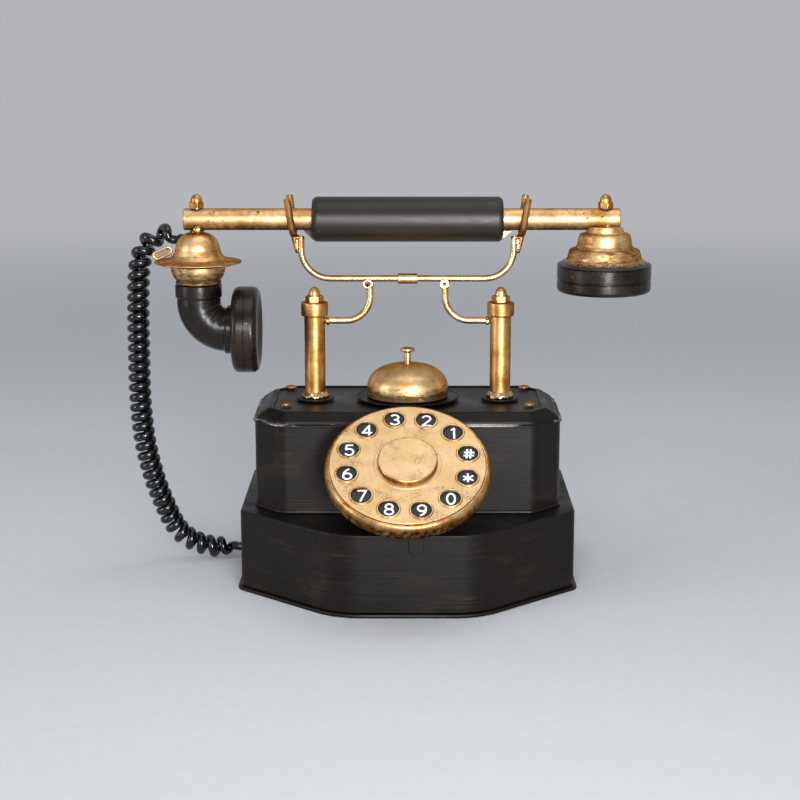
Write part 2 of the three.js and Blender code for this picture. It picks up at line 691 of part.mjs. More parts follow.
function buildBell() {
  const bell = new THREE.Group();
  bell.position.set(0, BELL_Y, LID_TOP);
  telephone.add(bell);

  piece('bell_dish', turned([
    [0, SEAT], [DISH_R - 2, SEAT], [DISH_R, SEAT + DISH_LIP], [DISH_R, dishTop + DISH_LIP],
    [DISH_R - 2, dishTop], [0, dishTop],
  ], 28), blackPaint, bell);

  // The gong is a flat-crowned dome over a short straight skirt.
  const crown = (radius, height, steps) => arc(0, 0, 1, 1, 0, 72, steps).map(([c, s]) =>
    [radius * c ** GONG_FULLNESS, gongRim + GONG_SKIRT + height * s ** GONG_FULLNESS]);
  const gong = turned([
    [0, gongTop - GONG_WALL], [GONG_FLAT_R, gongTop - GONG_WALL],
    ...crown(GONG_R - GONG_WALL, GONG_DOME - GONG_WALL, 3).reverse(), [GONG_R - GONG_WALL, gongRim],
    [GONG_R, gongRim], ...crown(GONG_R, GONG_DOME, 4), [GONG_FLAT_R, gongTop], [0, gongTop],
  ], 24);
  piece('bell_gong', cut(gong, bar(GUIDE_R + SEAT, gongRim, gongTop + 1, 12)), antiqueGold, bell);

  const bore = STEM_R + SEAT;
  const foot = dishTop + SEAT;
  const shoulder = gongTop - GONG_WALL - SEAT;
  const guide = turnedRing([
    [bore, foot], [GUIDE_FOOT_R, foot], [GUIDE_FOOT_R, foot + 1], [GUIDE_R, foot + 1],
    [GUIDE_R, shoulder - 1.2], [GUIDE_R + 1.3, shoulder - 1.2], [GUIDE_R + 1.3, shoulder],
    [GUIDE_R, shoulder], [GUIDE_R, guideTop], [bore, guideTop],
    [bore, ledgeTop], [PRESS_TIP_R + SEAT, ledgeTop], [PRESS_TIP_R + SEAT, ledgeTop - SHEET / 2],
    [bore, ledgeTop - SHEET / 2],
  ], 10);
  const slotWidth = LEVER_WIDTH + 2 * RUN;
  const slotHigh = leverTop + SEAT;
  const slotLow = leverZ - LEVER_THICK / 2 - PRESS_STROKE - 2 * SEAT - RUN;
  const slot = new THREE.BoxGeometry(GUIDE_R + 2, slotWidth, slotHigh - slotLow)
    .translate((GUIDE_R + 2) / 2, 0, (slotHigh + slotLow) / 2);
  piece('bell_guide', cut(guide, slot), antiqueGold, bell);

  const shoulderLow = ledgeTop + 2 * SEAT + RETURN_SPRING;
  const buttonLow = gongTop + BUTTON_RISE;
  piece('bell_button', turned([
    [0, leverTop + SEAT], [PRESS_TIP_R, leverTop + SEAT], [PRESS_TIP_R, shoulderLow], [STEM_R, shoulderLow],
    [STEM_R, buttonLow], [BUTTON_R - 0.7, buttonLow], [BUTTON_R, buttonLow + 0.7],
    [BUTTON_R, buttonLow + BUTTON_THICK - EDGE_BREAK], [BUTTON_R - EDGE_BREAK, buttonLow + BUTTON_THICK],
    [0, buttonLow + BUTTON_THICK + 0.2],
  ], 16), antiqueGold, bell);
  const springSeat = ledgeTop + SEAT;
  piece('button_spring', pipe(STEM_R, PRESS_TIP_R + SEAT, springSeat, springSeat + RETURN_SPRING, 12),
    plainSteel, bell);

  // The button's tip presses the short arm of a rocking lever, whose long arm lifts the hammer.
  const strip = new THREE.BoxGeometry(hammerX + 1.2, LEVER_WIDTH, LEVER_THICK)
    .translate((hammerX - 1.2) / 2, 0, leverZ);
  const eye = bar(PIVOT_R + 1.2, -LEVER_WIDTH / 2, LEVER_WIDTH / 2, 12)
    .rotateX(Math.PI / 2).translate(LEVER_PIVOT_X, 0, leverZ);
  const eyeBore = bar(PIVOT_R + SEAT, -LEVER_WIDTH, LEVER_WIDTH, 12)
    .rotateX(Math.PI / 2).translate(LEVER_PIVOT_X, 0, leverZ);
  const head = new THREE.SphereGeometry(HAMMER_R, 8, 6).rotateX(Math.PI / 2).translate(hammerX, 0, leverZ);
  piece('bell_hammer', cut(join(strip, eye, head), eyeBore), plainSteel, bell);

  const earInner = LEVER_WIDTH / 2 + RUN;
  const earOuter = earInner + EAR_THICK;
  const earHeight = leverZ + PIVOT_R + 1 - foot;
  const ears = [-1, 1].map((sign) => new THREE.BoxGeometry(3.6, EAR_THICK, earHeight)
    .translate(LEVER_PIVOT_X, sign * (earInner + EAR_THICK / 2), foot + earHeight / 2));
  const bridge = new THREE.BoxGeometry(3.6, 2 * earOuter, EAR_THICK)
    .translate(LEVER_PIVOT_X, 0, foot + EAR_THICK / 2);
  const pin = bar(PIVOT_R, -earOuter - 0.4, earOuter + 0.4, 10)
    .rotateX(Math.PI / 2).translate(LEVER_PIVOT_X, 0, leverZ);
  piece('hammer_bracket', join(bridge, ...ears, pin), plainSteel, bell);
}

// ---------------------------------------------------------------- dial
// The pan's back leans on the edge of the lid's lip.
const dialTilt = rad(DIAL_TILT);
const lipY = -UPPER_FRONT - LID_OVERHANG;
const dialZ = lipTop - LID_LIP_EDGE
  + (PAN_DEPTH + SEAT - (lipY - DIAL_Y) * Math.sin(dialTilt)) / Math.cos(dialTilt);
const panInner = WHEEL_R + WHEEL_CLEAR;
const plateTop = -WHEEL_THICK - PLATE_GAP;
const plateLow = plateTop - NUMBER_PLATE;
const panFloor = PAN_WALL - PAN_DEPTH;
const bossTop = panFloor + PAN_BOSS;
const springLow = bossTop + RUN;
const flangeR = SPINDLE_R * 2;

/** A flat strip wound in a spiral between two radii. */
function spiralStrip(innerR, outerR, turns, thick, height) {
  const steps = Math.round(turns * 9);
  const along = (offset) => Array.from({ length: steps + 1 }, (_, i) => {
    const angle = 2 * Math.PI * turns * i / steps;
    const radius = innerR + (outerR - innerR - thick) * i / steps + offset;
    return v2(radius * Math.cos(angle), radius * Math.sin(angle));
  });
  return plate(new THREE.Shape([...along(thick), ...along(0).reverse()]), height);
}

function buildDial() {
  const dial = new THREE.Group();
  dial.position.set(0, DIAL_Y, dialZ);
  dial.rotation.x = dialTilt;
  telephone.add(dial);

  const pan = turned([
    [0, -PAN_DEPTH], ...arc(PAN_R - RIM_ROUND, RIM_ROUND - PAN_DEPTH, RIM_ROUND, RIM_ROUND, -90, 0, 3),
    ...arc(PAN_R - 3, -6, 3, 5, 0, 80, 3), [panInner, -1], [panInner, plateLow - SEAT],
    [panInner - 3, plateLow - SEAT], [panInner - 5, panFloor],
    [PAN_BOSS_R, panFloor], [PAN_BOSS_R, bossTop], [SPINDLE_R + RUN, bossTop],
    [SPINDLE_R + RUN, panFloor + SPINDLE_PAD], [0, panFloor + SPINDLE_PAD],
  ], 30);
  const hook = bar(HOOK_R, panFloor - PAN_WALL / 2, springLow + SPRING_HEIGHT, 8)
    .translate(SPRING_OUT_R + HOOK_R + SEAT, 0, 0);
  piece('dial_pan', join(pan, hook), antiqueGold, dial);

  const twist = rad(360 * SPRING_TURNS);
  piece('dial_spring', spiralStrip(SPINDLE_R + SEAT, SPRING_OUT_R, SPRING_TURNS, SPRING_STRIP, SPRING_HEIGHT)
    .rotateZ(-twist).translate(0, 0, springLow), plainSteel, dial);

  piece('number_plate', pipe(WHEEL_R, flangeR + RUN, plateLow, plateTop, 28), numberBlack, dial);

  // The finger wheel: a plate pierced by twelve holes, each with a raised eyelet.
  const holes = Array.from({ length: HOLE_COUNT }, (_, i) => rad(HOLE_START + 360 * i / HOLE_COUNT))
    .map((angle) => v2(HOLE_PITCH_R * Math.cos(angle), HOLE_PITCH_R * Math.sin(angle)));
  const disc = turned([
    [0, -WHEEL_THICK], [WHEEL_R, -WHEEL_THICK], [WHEEL_R, -0.5], [WHEEL_R - 0.5, 0],
    [CAP_STEP_R + 0.5, 0], [CAP_STEP_R, CAP_STEP], [0, CAP_STEP],
  ], 32);
  const eyelets = holes.map((spot) => turned([
    [0, -WHEEL_THICK / 2], [EYELET_R, -WHEEL_THICK / 2], [EYELET_R - 0.5, EYELET_RISE], [0, EYELET_RISE],
  ], 12).translate(spot.x, spot.y, 0));
  const bores = holes.map((spot) =>
    bar(HOLE_R, -WHEEL_THICK - 1, EYELET_RISE + 1, 12).translate(spot.x, spot.y, 0));
    const hub = bar(WHEEL_PIN_R + SEAT, -WHEEL_THICK - 1, CAP_STEP + 1, 12);
  piece('finger_wheel', cut(join(disc, ...eyelets), ...bores, hub), antiqueGold, dial);

  const capLow = CAP_STEP + SEAT;
  const capTop = capLow + CAP_RISE;
  piece('dial_cap', turned([
    [0, capLow + CAP_RISE / 2], [WHEEL_PIN_R + SEAT, capLow + CAP_RISE / 2],
    [WHEEL_PIN_R + SEAT, capLow], [CAP_R, capLow],
    [CAP_R, capTop - EDGE_BREAK], [CAP_R - EDGE_BREAK, capTop], [0, capTop],
  ], 22), antiqueGold, dial);

  const spindleLow = panFloor + SPINDLE_PAD + SEAT;
  const flangeTop = -WHEEL_THICK - SEAT;
  piece('dial_spindle', turned([
    [0, spindleLow], [SPINDLE_R, spindleLow], [SPINDLE_R, flangeTop - FLANGE],
    [flangeR, flangeTop - FLANGE], [flangeR, flangeTop], [WHEEL_PIN_R, flangeTop],
    [WHEEL_PIN_R, capLow + CAP_RISE / 2 - SEAT], [0, capLow + CAP_RISE / 2 - SEAT],
  ], 16), plainSteel, dial);

  // A bent strap stands on the case's nose and carries the pan on its tongue.
  const backZ = (y, below) =>
    dialZ + (y - DIAL_Y) * Math.tan(dialTilt) - (PAN_DEPTH + SEAT + below) / Math.cos(dialTilt);
  const inner = -LOWER_FRONT_LENGTH - SEAT;
  const outer = inner - STRAP_THICK;
  const tip = outer + STRAP_TONGUE * Math.cos(dialTilt);
  const strapFoot = STRAP_LOW_Z + STRAP_WIDTH / 2;
  const side = new THREE.Shape([
    v2(outer, strapFoot), v2(outer, backZ(outer, 0)), v2(tip, backZ(tip, 0)),
    v2(tip + STRAP_THICK * Math.sin(dialTilt), backZ(tip, 0) - STRAP_THICK * Math.cos(dialTilt)),
    v2(inner, backZ(inner, STRAP_THICK)), v2(inner, strapFoot),
  ]);
  const bent = plate(side, STRAP_WIDTH).rotateX(Math.PI / 2).rotateZ(Math.PI / 2)
    .translate(STRAP_X - STRAP_WIDTH / 2, 0, 0);
  const foot = bar(STRAP_WIDTH / 2, 0, STRAP_THICK, 20).rotateX(-Math.PI / 2)
    .translate(STRAP_X, outer, strapFoot);
  piece('dial_strap', join(bent, foot), blackPaint);
}

// ---------------------------------------------------------------- handset
const alongX = (geometry, x) => geometry.rotateY(Math.PI / 2).translate(x, POST_Y, tubeZ);
const tubeLow = tubeZ - TUBE_R;
const tubeStart = MOUTH_X - TUBE_PAST_MOUTH;
const tubeEnd = EAR_X + TUBE_PAST_EAR;
const spacerLow = tubeLow - SEAT - SPACER;
const domeTop = spacerLow - SEAT;
const domeBase = domeTop - DOME_HEIGHT;
const brimZ = domeTop - BRIM_DROP;
const brimLow = brimZ - BRIM_EDGE - 1.7;
const cupTop = brimLow - SEAT;
const cupLow = cupTop - CUP_HEIGHT;
const elbowTop = cupLow - SEAT;
const mouthZ = elbowTop - ELBOW_DROP - ELBOW_BEND;
const mouthBack = MOUTH_X + ELBOW_BEND + ELBOW_STUB + SEAT;
const studHole = STUD_R + SEAT;

function buildHandsetTube() {
  const edge = 0.6;
  const tube = alongX(turned([
    [0, tubeStart], [TUBE_R - edge, tubeStart], [TUBE_R, tubeStart + edge], [TUBE_R, tubeEnd - edge],
    [TUBE_R - edge, tubeEnd], [0, tubeEnd],
  ], 16), 0);
  const bore = alongX(bar(TUBE_R - TUBE_WALL, tubeStart + TUBE_WALL, tubeEnd - TUBE_WALL, 12), 0);
  const studs = [MOUTH_X, EAR_X].map((x) =>
    bar(studHole, tubeZ - 2 * TUBE_R, tubeZ + 2 * TUBE_R, 10).translate(x, POST_Y, 0));
  piece('handset_tube', cut(tube, bore, ...studs), antiqueGold);

  const half = GRIP_LENGTH / 2;
  const gripBore = TUBE_R + SEAT;
  const grip = alongX(turnedRing([
    [gripBore, -half], [GRIP_R - GRIP_CHAMFER, -half], [GRIP_R - EDGE_BREAK, GRIP_CHAMFER - 1.2 - half],
    [GRIP_R, GRIP_CHAMFER - half], [GRIP_R, half - GRIP_CHAMFER],
    [GRIP_R - EDGE_BREAK, half - GRIP_CHAMFER + 1.2],
    [GRIP_R - GRIP_CHAMFER, half], [gripBore, half],
  ], 20), 0);
  const gussets = [-1, 1].map((sign) => plate(new THREE.Shape([
    v2(sign * (half - 2), tubeLow - SEAT), v2(sign * (half - 2), tubeZ - GRIP_R + GRIP_CHAMFER),
    v2(sign * half, tubeZ - GRIP_R + GRIP_CHAMFER), v2(sign * (half + GRIP_GUSSET), tubeLow - SEAT),
  ]), GUSSET_WIDTH).rotateX(Math.PI / 2).translate(0, POST_Y + GUSSET_WIDTH / 2, 0));
  piece('handset_grip', join(grip, ...gussets), gripBlack);
}

/** A headed stud up through the tube, with its domed nut on top. */
function buildStud(x, headTop, side) {
  const nutLow = tubeZ + TUBE_R + SEAT;
  const stud = turned([
    [0, headTop - STUD_HEAD], [STUD_HEAD_R, headTop - STUD_HEAD], [STUD_HEAD_R, headTop], [STUD_R, headTop],
    [STUD_R, nutLow + STUD_NUT_HEX], [0, nutLow + STUD_NUT_HEX],
  ], 12);
  piece(`${side}_stud`, stud.translate(x, POST_Y, 0), plainSteel);
  piece(`${side}_nut`, acornNut(STUD_NUT_ACROSS, STUD_NUT_HEX, STUD_NUT_DOME_R, STUD_NUT_DOME, STUD_R)
    .translate(x, POST_Y, nutLow), antiqueGold);
}

const domeProfile = (grow) => [
  ...arc(DOME_FLAT_R, domeBase, DOME_R - DOME_FLAT_R + grow, DOME_HEIGHT + grow, 90, 8, 4),
  [DOME_R + 1.6 + grow, domeBase - 2 + grow],
];

function buildMouthpiece() {
  piece('mouthpiece_spacer', pipe(SPACER_R, studHole, spacerLow, tubeLow - SEAT, 12)
    .translate(MOUTH_X, POST_Y, 0), antiqueGold);
  buildStud(MOUTH_X, domeTop - SHEET - SEAT, 'mouthpiece');

  // The brim is a bowler-hat form: a dome, a swept brim and a coned underside.
  const inner = CUP_TOP_R - SHEET - SEAT;
  const brim = turned([
    [0, domeTop - SHEET],
    ...arc(DOME_FLAT_R, domeBase, DOME_R - DOME_FLAT_R - SHEET, DOME_HEIGHT - SHEET, 90, 0, 3),
    [inner, brimZ + 0.4], [inner, brimLow],
    [CUP_TOP_R + 0.6, brimLow], [BRIM_R - 3, brimZ - BRIM_EDGE - 0.8],
    [BRIM_R, brimZ - BRIM_EDGE], [BRIM_R, brimZ],
    [BRIM_R - BRIM_CURL_WIDTH, brimZ + BRIM_CURL], [BRIM_R - 2 * BRIM_CURL_WIDTH, brimZ + 2 * BRIM_CURL],
    ...domeProfile(0).reverse(), [0, domeTop],
  ].reverse(), 22);
  const hole = bar(studHole, brimZ, domeTop + 1, 12);
  piece('mouthpiece_brim', cut(brim, hole).translate(MOUTH_X, POST_Y, 0), antiqueGold);

  const beadTop = cupLow + 2 * CUP_BEAD;
  piece('mouthpiece_cup', turnedRing([
    [CUP_TOP_R - SHEET, cupTop], [CUP_FOOT_R - SHEET, cupLow], [CUP_FOOT_R + CUP_BEAD / 2, cupLow],
    [CUP_FOOT_R + CUP_BEAD, cupLow + CUP_BEAD / 2], [CUP_FOOT_R + CUP_BEAD, cupLow + CUP_BEAD],
    [CUP_FOOT_R + CUP_BEAD / 2, beadTop - CUP_BEAD / 2], [CUP_FOOT_R + 0.9, beadTop],
    [(CUP_FOOT_R + CUP_TOP_R) / 2 + 0.7, (cupLow + beadTop) / 2 + CUP_HEIGHT / 4],
    [CUP_TOP_R - 0.2, cupTop - CUP_HEIGHT / 3], [CUP_TOP_R, cupTop],
  ], 20).translate(MOUTH_X, POST_Y, 0), antiqueGold);

  piece('mouthpiece_elbow', cut(elbow(0), elbow(ELBOW_BORE)), mouldedBlack);
  buildMouthCap();
}

/** The elbow's outside, or with a bore its straight-through hollow. */
function elbow(bore) {
  const sides = bore ? 10 : 14;
  const reach = bore ? 2 : 0;
  const stations = [[-reach, 0, ELBOW_R + 0.2]];
  if (!bore) {
    stations.push([0.7, 0, ELBOW_SOCKET_R], [ELBOW_SOCKET - EDGE_BREAK, 0, ELBOW_SOCKET_R]);
    stations.push([ELBOW_SOCKET, 0, ELBOW_R]);
  }
  const bends = bore ? 4 : 9;
  for (let i = 0; i <= bends; i += 1) stations.push([ELBOW_DROP, 90 * i / bends, ELBOW_R]);
  if (!bore) stations.push([ELBOW_DROP, 90.01, ELBOW_EXIT_R]);
  const rings = stations.map(([drop, turn, radius], i) => {
    const angle = rad(Math.min(turn, 90));
    const out = v3(-Math.cos(angle), 0, -Math.sin(angle));
    const pivot = v3(MOUTH_X + ELBOW_BEND, POST_Y, elbowTop - drop);
    const centre = pivot.addScaledVector(out, ELBOW_BEND);
    // Creases gather on the inside of the bend.
    const fold = turn > 0 && turn < 90 ? Math.sin(Math.PI * turn / 90) * (i % 2 ? 1 : -0.2) : 0;
    return { centre, out, radius: bore || radius, fold: bore ? 0 : fold };
  });
  const last = rings[rings.length - 1];
  rings.push({ ...last, centre: last.centre.clone().add(v3(ELBOW_STUB + reach, 0, 0)) });
  return skinned(rings.map(({ centre, out, radius, fold }) =>
    Array.from({ length: sides }, (_, k) => {
      const angle = 2 * Math.PI * k / sides;
      const inside = Math.max(0, -Math.cos(angle)) ** 2;
      const from = radius - CREASE * fold * inside;
      return centre.clone().addScaledVector(out, from * Math.cos(angle))
        .add(v3(0, from * Math.sin(angle), 0));
    })));
}

/** Sound holes: one in the middle and a ring of them. */
function soundHoles(low, high) {
  const ring = Array.from({ length: SOUND_HOLES }, (_, i) => 2 * Math.PI * i / SOUND_HOLES);
  return [bar(SOUND_HOLE_R, low, high, 6), ...ring.map((angle) => bar(SOUND_HOLE_R, low, high, 6)
    .translate(SOUND_RING_R * Math.cos(angle), SOUND_RING_R * Math.sin(angle), 0))];
}

function buildMouthCap() {
  const place = (geometry) => geometry.rotateY(Math.PI / 2).translate(mouthBack, POST_Y, mouthZ);
  const R = MOUTH_CAP_R;
  const depth = MOUTH_CAP_DEPTH;
  const face = depth - DISH_DEPTH;
  const inner = R - CAP_WALL;
  const cap = turned([
    [0, face - CAP_WALL], [inner - 4, face - CAP_WALL], [inner, face - 5], [inner, 2 * CAP_WALL],
    [inner - 2, CAP_WALL], [ELBOW_BORE, CAP_WALL], [ELBOW_BORE, 0],
    ...arc(R - CAP_EDGE, CAP_EDGE, CAP_EDGE, CAP_EDGE, -90, 0, 2),
    ...arc(R - CAP_EDGE, depth - CAP_EDGE, CAP_EDGE, CAP_EDGE, 0, 90, 3),
    [R - 9, face + 0.3], [0, face],
  ], 22);
  piece('mouthpiece_cap', place(cut(cap, ...soundHoles(face - 2 * CAP_WALL, depth))), mouldedBlack);
  const capsule = turned([
    [0, CAP_WALL + SEAT], [inner - 3, CAP_WALL + SEAT], [inner - SEAT, 2 * CAP_WALL + SEAT],
    [inner - SEAT, CAP_WALL + CAPSULE_DEPTH], [0, CAP_WALL + CAPSULE_DEPTH],
  ], 22);
  piece('transmitter_capsule', place(capsule), plainSteel);
}

function buildEarpiece() {
  const place = (geometry) => geometry.translate(EAR_X, POST_Y, 0);
  const ringTop = tubeLow + EAR_SADDLE;
  const ringLow = ringTop - EAR_RING;
  const step1Low = ringLow - EAR_STEP1;
  const step2Low = step1Low - EAR_STEP2;
  const skirtLow = step2Low - EAR_SKIRT;
  const roof = ringLow - SHEET;
  const shell = turned([
    [0, roof], [EAR_STEP1_R - SHEET, roof], [EAR_STEP1_R + EAR_STEP1_FLARE - SHEET, step1Low - SHEET],
    [EAR_STEP2_R - SHEET, step1Low - 2 * SHEET], [EAR_STEP2_R + EAR_STEP2_FLARE - SHEET, step2Low - SHEET],
    [EAR_SKIRT_R - 2 * SHEET, skirtLow], [EAR_SKIRT_R - 0.4, skirtLow], [EAR_SKIRT_R, skirtLow + 0.5],
    [EAR_STEP2_R + EAR_STEP2_FLARE + EDGE_BREAK, step2Low], [EAR_STEP2_R + EAR_STEP2_FLARE, step2Low + 1],
    [EAR_STEP2_R, step1Low - 0.9], [EAR_STEP1_R + EAR_STEP1_FLARE + 0.6, step1Low - 0.3],
    [EAR_STEP1_R + EAR_STEP1_FLARE, step1Low + EDGE_BREAK], [EAR_STEP1_R, ringLow - 0.5],
    [EAR_RING_R + 0.5, ringLow],
    [EAR_RING_R, ringLow + EDGE_BREAK], [EAR_RING_R, ringTop - EDGE_BREAK],
    [EAR_RING_R - EDGE_BREAK, ringTop],
    [0, ringTop],
  ], 22);
  const saddle = alongX(bar(TUBE_R + SEAT, EAR_X - 2 * EAR_RING_R, EAR_X + 2 * EAR_RING_R, 18), -EAR_X)
    .translate(0, -POST_Y, 0);
  const hole = bar(studHole, roof - 1, ringTop + 1, 12);
  piece('earpiece_shell', place(cut(shell, saddle, hole)), antiqueGold);
  buildStud(EAR_X, roof - SEAT, 'earpiece');

  const top = skirtLow - SEAT;
  const low = top - EAR_CAP_HEIGHT;
  const R = EAR_CAP_R;
  const middle = (top + low) / 2 - 0.5;
  const floor = low + DISH_DEPTH;
  const cap = turned([
    [0, floor], [R - 10, floor - 0.2], [R - 7, low],
    ...arc(R - 3, low + 3, 3, 3, -90, 0, 2), [R, middle - EAR_GROOVE], [R - EAR_GROOVE, middle],
    [R, middle + EAR_GROOVE], [R, top], [R - CAP_WALL, top],
    [R - CAP_WALL, floor + CAP_WALL + 1.5], [R - CAP_WALL - 1.5, floor + CAP_WALL], [0, floor + CAP_WALL],
  ], 22);
  piece('earpiece_cap', place(cut(cap, ...soundHoles(low, floor + 2 * CAP_WALL))), mouldedBlack);
  const seat = floor + CAP_WALL + SEAT;
  piece('receiver_capsule', place(turned([
    [0, seat], [R - CAP_WALL - 2, seat], [R - CAP_WALL - SEAT, seat + 1.7],
    [R - CAP_WALL - SEAT, seat + CAPSULE_DEPTH], [0, seat + CAPSULE_DEPTH],
  ], 22)), plainSteel);
}

// ---------------------------------------------------------------- curly cord
const outletAngle = rad(OUTLET_TURN);
const outletOut = v3(Math.cos(outletAngle), Math.sin(outletAngle), 0);
const outletZ = domeTop - OUTLET_DROP;
const domeAtOutlet = DOME_FLAT_R
  + (DOME_R - DOME_FLAT_R) * Math.sqrt(1 - ((outletZ - domeBase) / DOME_HEIGHT) ** 2);
const mouthAxis = v3(MOUTH_X, POST_Y, outletZ);

function buildOutlet() {
  const end = domeAtOutlet + OUTLET_LENGTH;
  const socket = turned([
    [0, DOME_R / 2], [OUTLET_R, DOME_R / 2],
    [OUTLET_R, end - EDGE_BREAK], [OUTLET_R - EDGE_BREAK, end], [0, end],
  ], 12).rotateY(Math.PI / 2).rotateZ(outletAngle).translate(MOUTH_X, POST_Y, outletZ);
  const dome = turned([[0, domeTop + SEAT], ...domeProfile(SEAT), [0, domeBase - 3]], 22)
    .translate(MOUTH_X, POST_Y, 0);
  piece('cord_outlet', cut(socket, dome), mouldedBlack);

  // A small flat link stands on the brim beside the outlet.
  const oval = (width, length) => {
    const shape = new THREE.Shape();
    const reach = (length - width) / 2;
    shape.absarc(reach, 0, width / 2, -Math.PI / 2, Math.PI / 2, false);
    shape.absarc(-reach, 0, width / 2, Math.PI / 2, 3 * Math.PI / 2, false);
    return shape;
  };
  const link = oval(LINK_WIDTH, LINK_LENGTH);
  link.holes.push(oval(LINK_WIDTH - 2 * LINK_WIRE, LINK_LENGTH - 2 * LINK_WIRE));
  const linkGeometry = new THREE.ExtrudeGeometry(link, {
    depth: LINK_WIRE / 2, bevelEnabled: true, bevelThickness: LINK_WIRE / 4, bevelSize: LINK_WIRE / 4,
    bevelOffset: -LINK_WIRE / 4, bevelSegments: 1, curveSegments: 3,
  }).rotateX(Math.PI / 2).rotateY(-rad(LINK_LEAN));
  const brimAtLink = brimZ + BRIM_CURL * (BRIM_R - LINK_OUT) / BRIM_CURL_WIDTH;
  const linkZ = brimAtLink + LINK_WIDTH / 2 + LINK_RISE;
  piece('cord_link', linkGeometry.translate(MOUTH_X - LINK_OUT, POST_Y - LINK_FORE, linkZ), antiqueGold);
}

function cordRoute() {
  const start = mouthAxis.clone().addScaledVector(outletOut, domeAtOutlet + OUTLET_LENGTH + SEAT);
  const gland = v3(-LOWER_WIDTH / 2 - GLAND_OUT - SEAT, CORD_Y, CORD_Z);
  const from = (x, y, z) => start.clone().add(v3(x, y, z));
  return new THREE.CatmullRomCurve3([
    start,
    start.clone().addScaledVector(outletOut, CORD_LEAD),
    from(-12.4, 7.4, 3.4),
    from(-19.4, 7.4, 0.2),
    from(-25.2, 5.9, -6.6),
    from(-28.4, 3.4, -16.2),
    from(-29.9, 0, -38.2),
    from(-30.4, -2, -76.2),
    from(-30.4, -2, -116.2),
    from(-27.4, 1, -151.2),
    from(-18.4, 7, -188.2),
    gland.clone().add(v3(-46, -5, 11.6)),
    gland.clone().add(v3(-28, -1, 1.2)),
    gland.clone().add(v3(-2 * CORD_LEAD, 0, 0)),
    gland.clone().add(v3(-CORD_LEAD, 0, 0)),
    gland,
  ], false, 'centripetal');
}

/** The wire's middle: curls that stand open on the outside of each bend, with straight ends. */
function curls(route) {
  const fine = 1600;
  const spots = route.getSpacedPoints(fine);
  const step = route.getLength() / fine;
  const frames = route.computeFrenetFrames(fine, false);
  const total = step * fine;
  const wire = [];
  const put = (i, phase, radius) => {
    const outward = frames.normals[i].clone().multiplyScalar(Math.cos(phase))
      .addScaledVector(frames.binormals[i], Math.sin(phase));
    wire.push({ spot: spots[i].clone().addScaledVector(outward, radius), outward });
  };
  let phase = 0;
  let due = 0;
  put(0, 0, 0);
  for (let i = 0; i <= fine; i += 1) {
    const along = i * step;
    if (along < CORD_LEAD || along > total - CORD_LEAD) continue;
    const ends = Math.min(along, total - along) - CORD_LEAD;
    const swell = THREE.MathUtils.smoothstep(ends, 0, 0.9 * CURL_PITCH);
    if (phase >= due) {
      put(i, phase, CURL_R * swell);
      due += 2 * Math.PI / CURL_STEPS;
    }
    const j = Math.min(i + 8, fine);
    const k = Math.max(i - 8, 0);
    const bend = frames.tangents[j].angleTo(frames.tangents[k]) / ((j - k) * step);
    phase += 2 * Math.PI * step * (1 - Math.min(bend * CURL_R, 0.5)) / CURL_PITCH;
  }
  put(Math.floor(fine - CORD_LEAD / step), phase, 0);
  put(fine, phase, 0);
  return wire;
}

/** Least gap of the wire to any stretch of itself that lies over two diameters on, between middles. */
function leastGap(wire) {
  let least = Infinity;
  wire.forEach(({ spot }, i) => {
    let along = 0;
    for (let j = i; j < wire.length - 1; j += 1) {
      const leg = new THREE.Line3(wire[j].spot, wire[j + 1].spot);
      const near = leg.closestPointToPoint(spot, true, v3(0, 0, 0));
      if (along > 4 * WIRE_R) least = Math.min(least, near.distanceTo(spot));
      along += leg.distance();
    }
  });
  return least - 2 * WIRE_R;
}

function buildCord() {
  const wire = curls(cordRoute());
  const rings = wire.map(({ spot, outward }, i) => {
    const before = wire[Math.max(i - 1, 0)].spot;
    const after = wire[Math.min(i + 1, wire.length - 1)].spot;
    const along = after.clone().sub(before).normalize();
    const out = outward.clone().addScaledVector(along, -outward.dot(along)).normalize();
    const across = along.clone().cross(out);
    return Array.from({ length: WIRE_SIDES }, (_, k) => {
      const angle = 2 * Math.PI * k / WIRE_SIDES;
      return spot.clone().addScaledVector(out, WIRE_R * Math.cos(angle))
        .addScaledVector(across, WIRE_R * Math.sin(angle));
    });
  });
  piece('curly_cord', skinned(rings), cordBlack);

  const length = wire.slice(1).reduce((sum, { spot }, i) => sum + spot.distanceTo(wire[i].spot), 0);
  const gap = leastGap(wire);
  console.log(`curly cord: least gap to itself ${gap.toFixed(2)} mm, wire ${length.toFixed(0)} mm`);
}

buildCase();
buildCradle();
buildBell();
buildDial();
buildHandsetTube();
buildMouthpiece();
buildEarpiece();
buildOutlet();
buildCord();

export default telephone;
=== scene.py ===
import math

import bmesh
import bpy
from mathutils import Matrix, Vector, noise


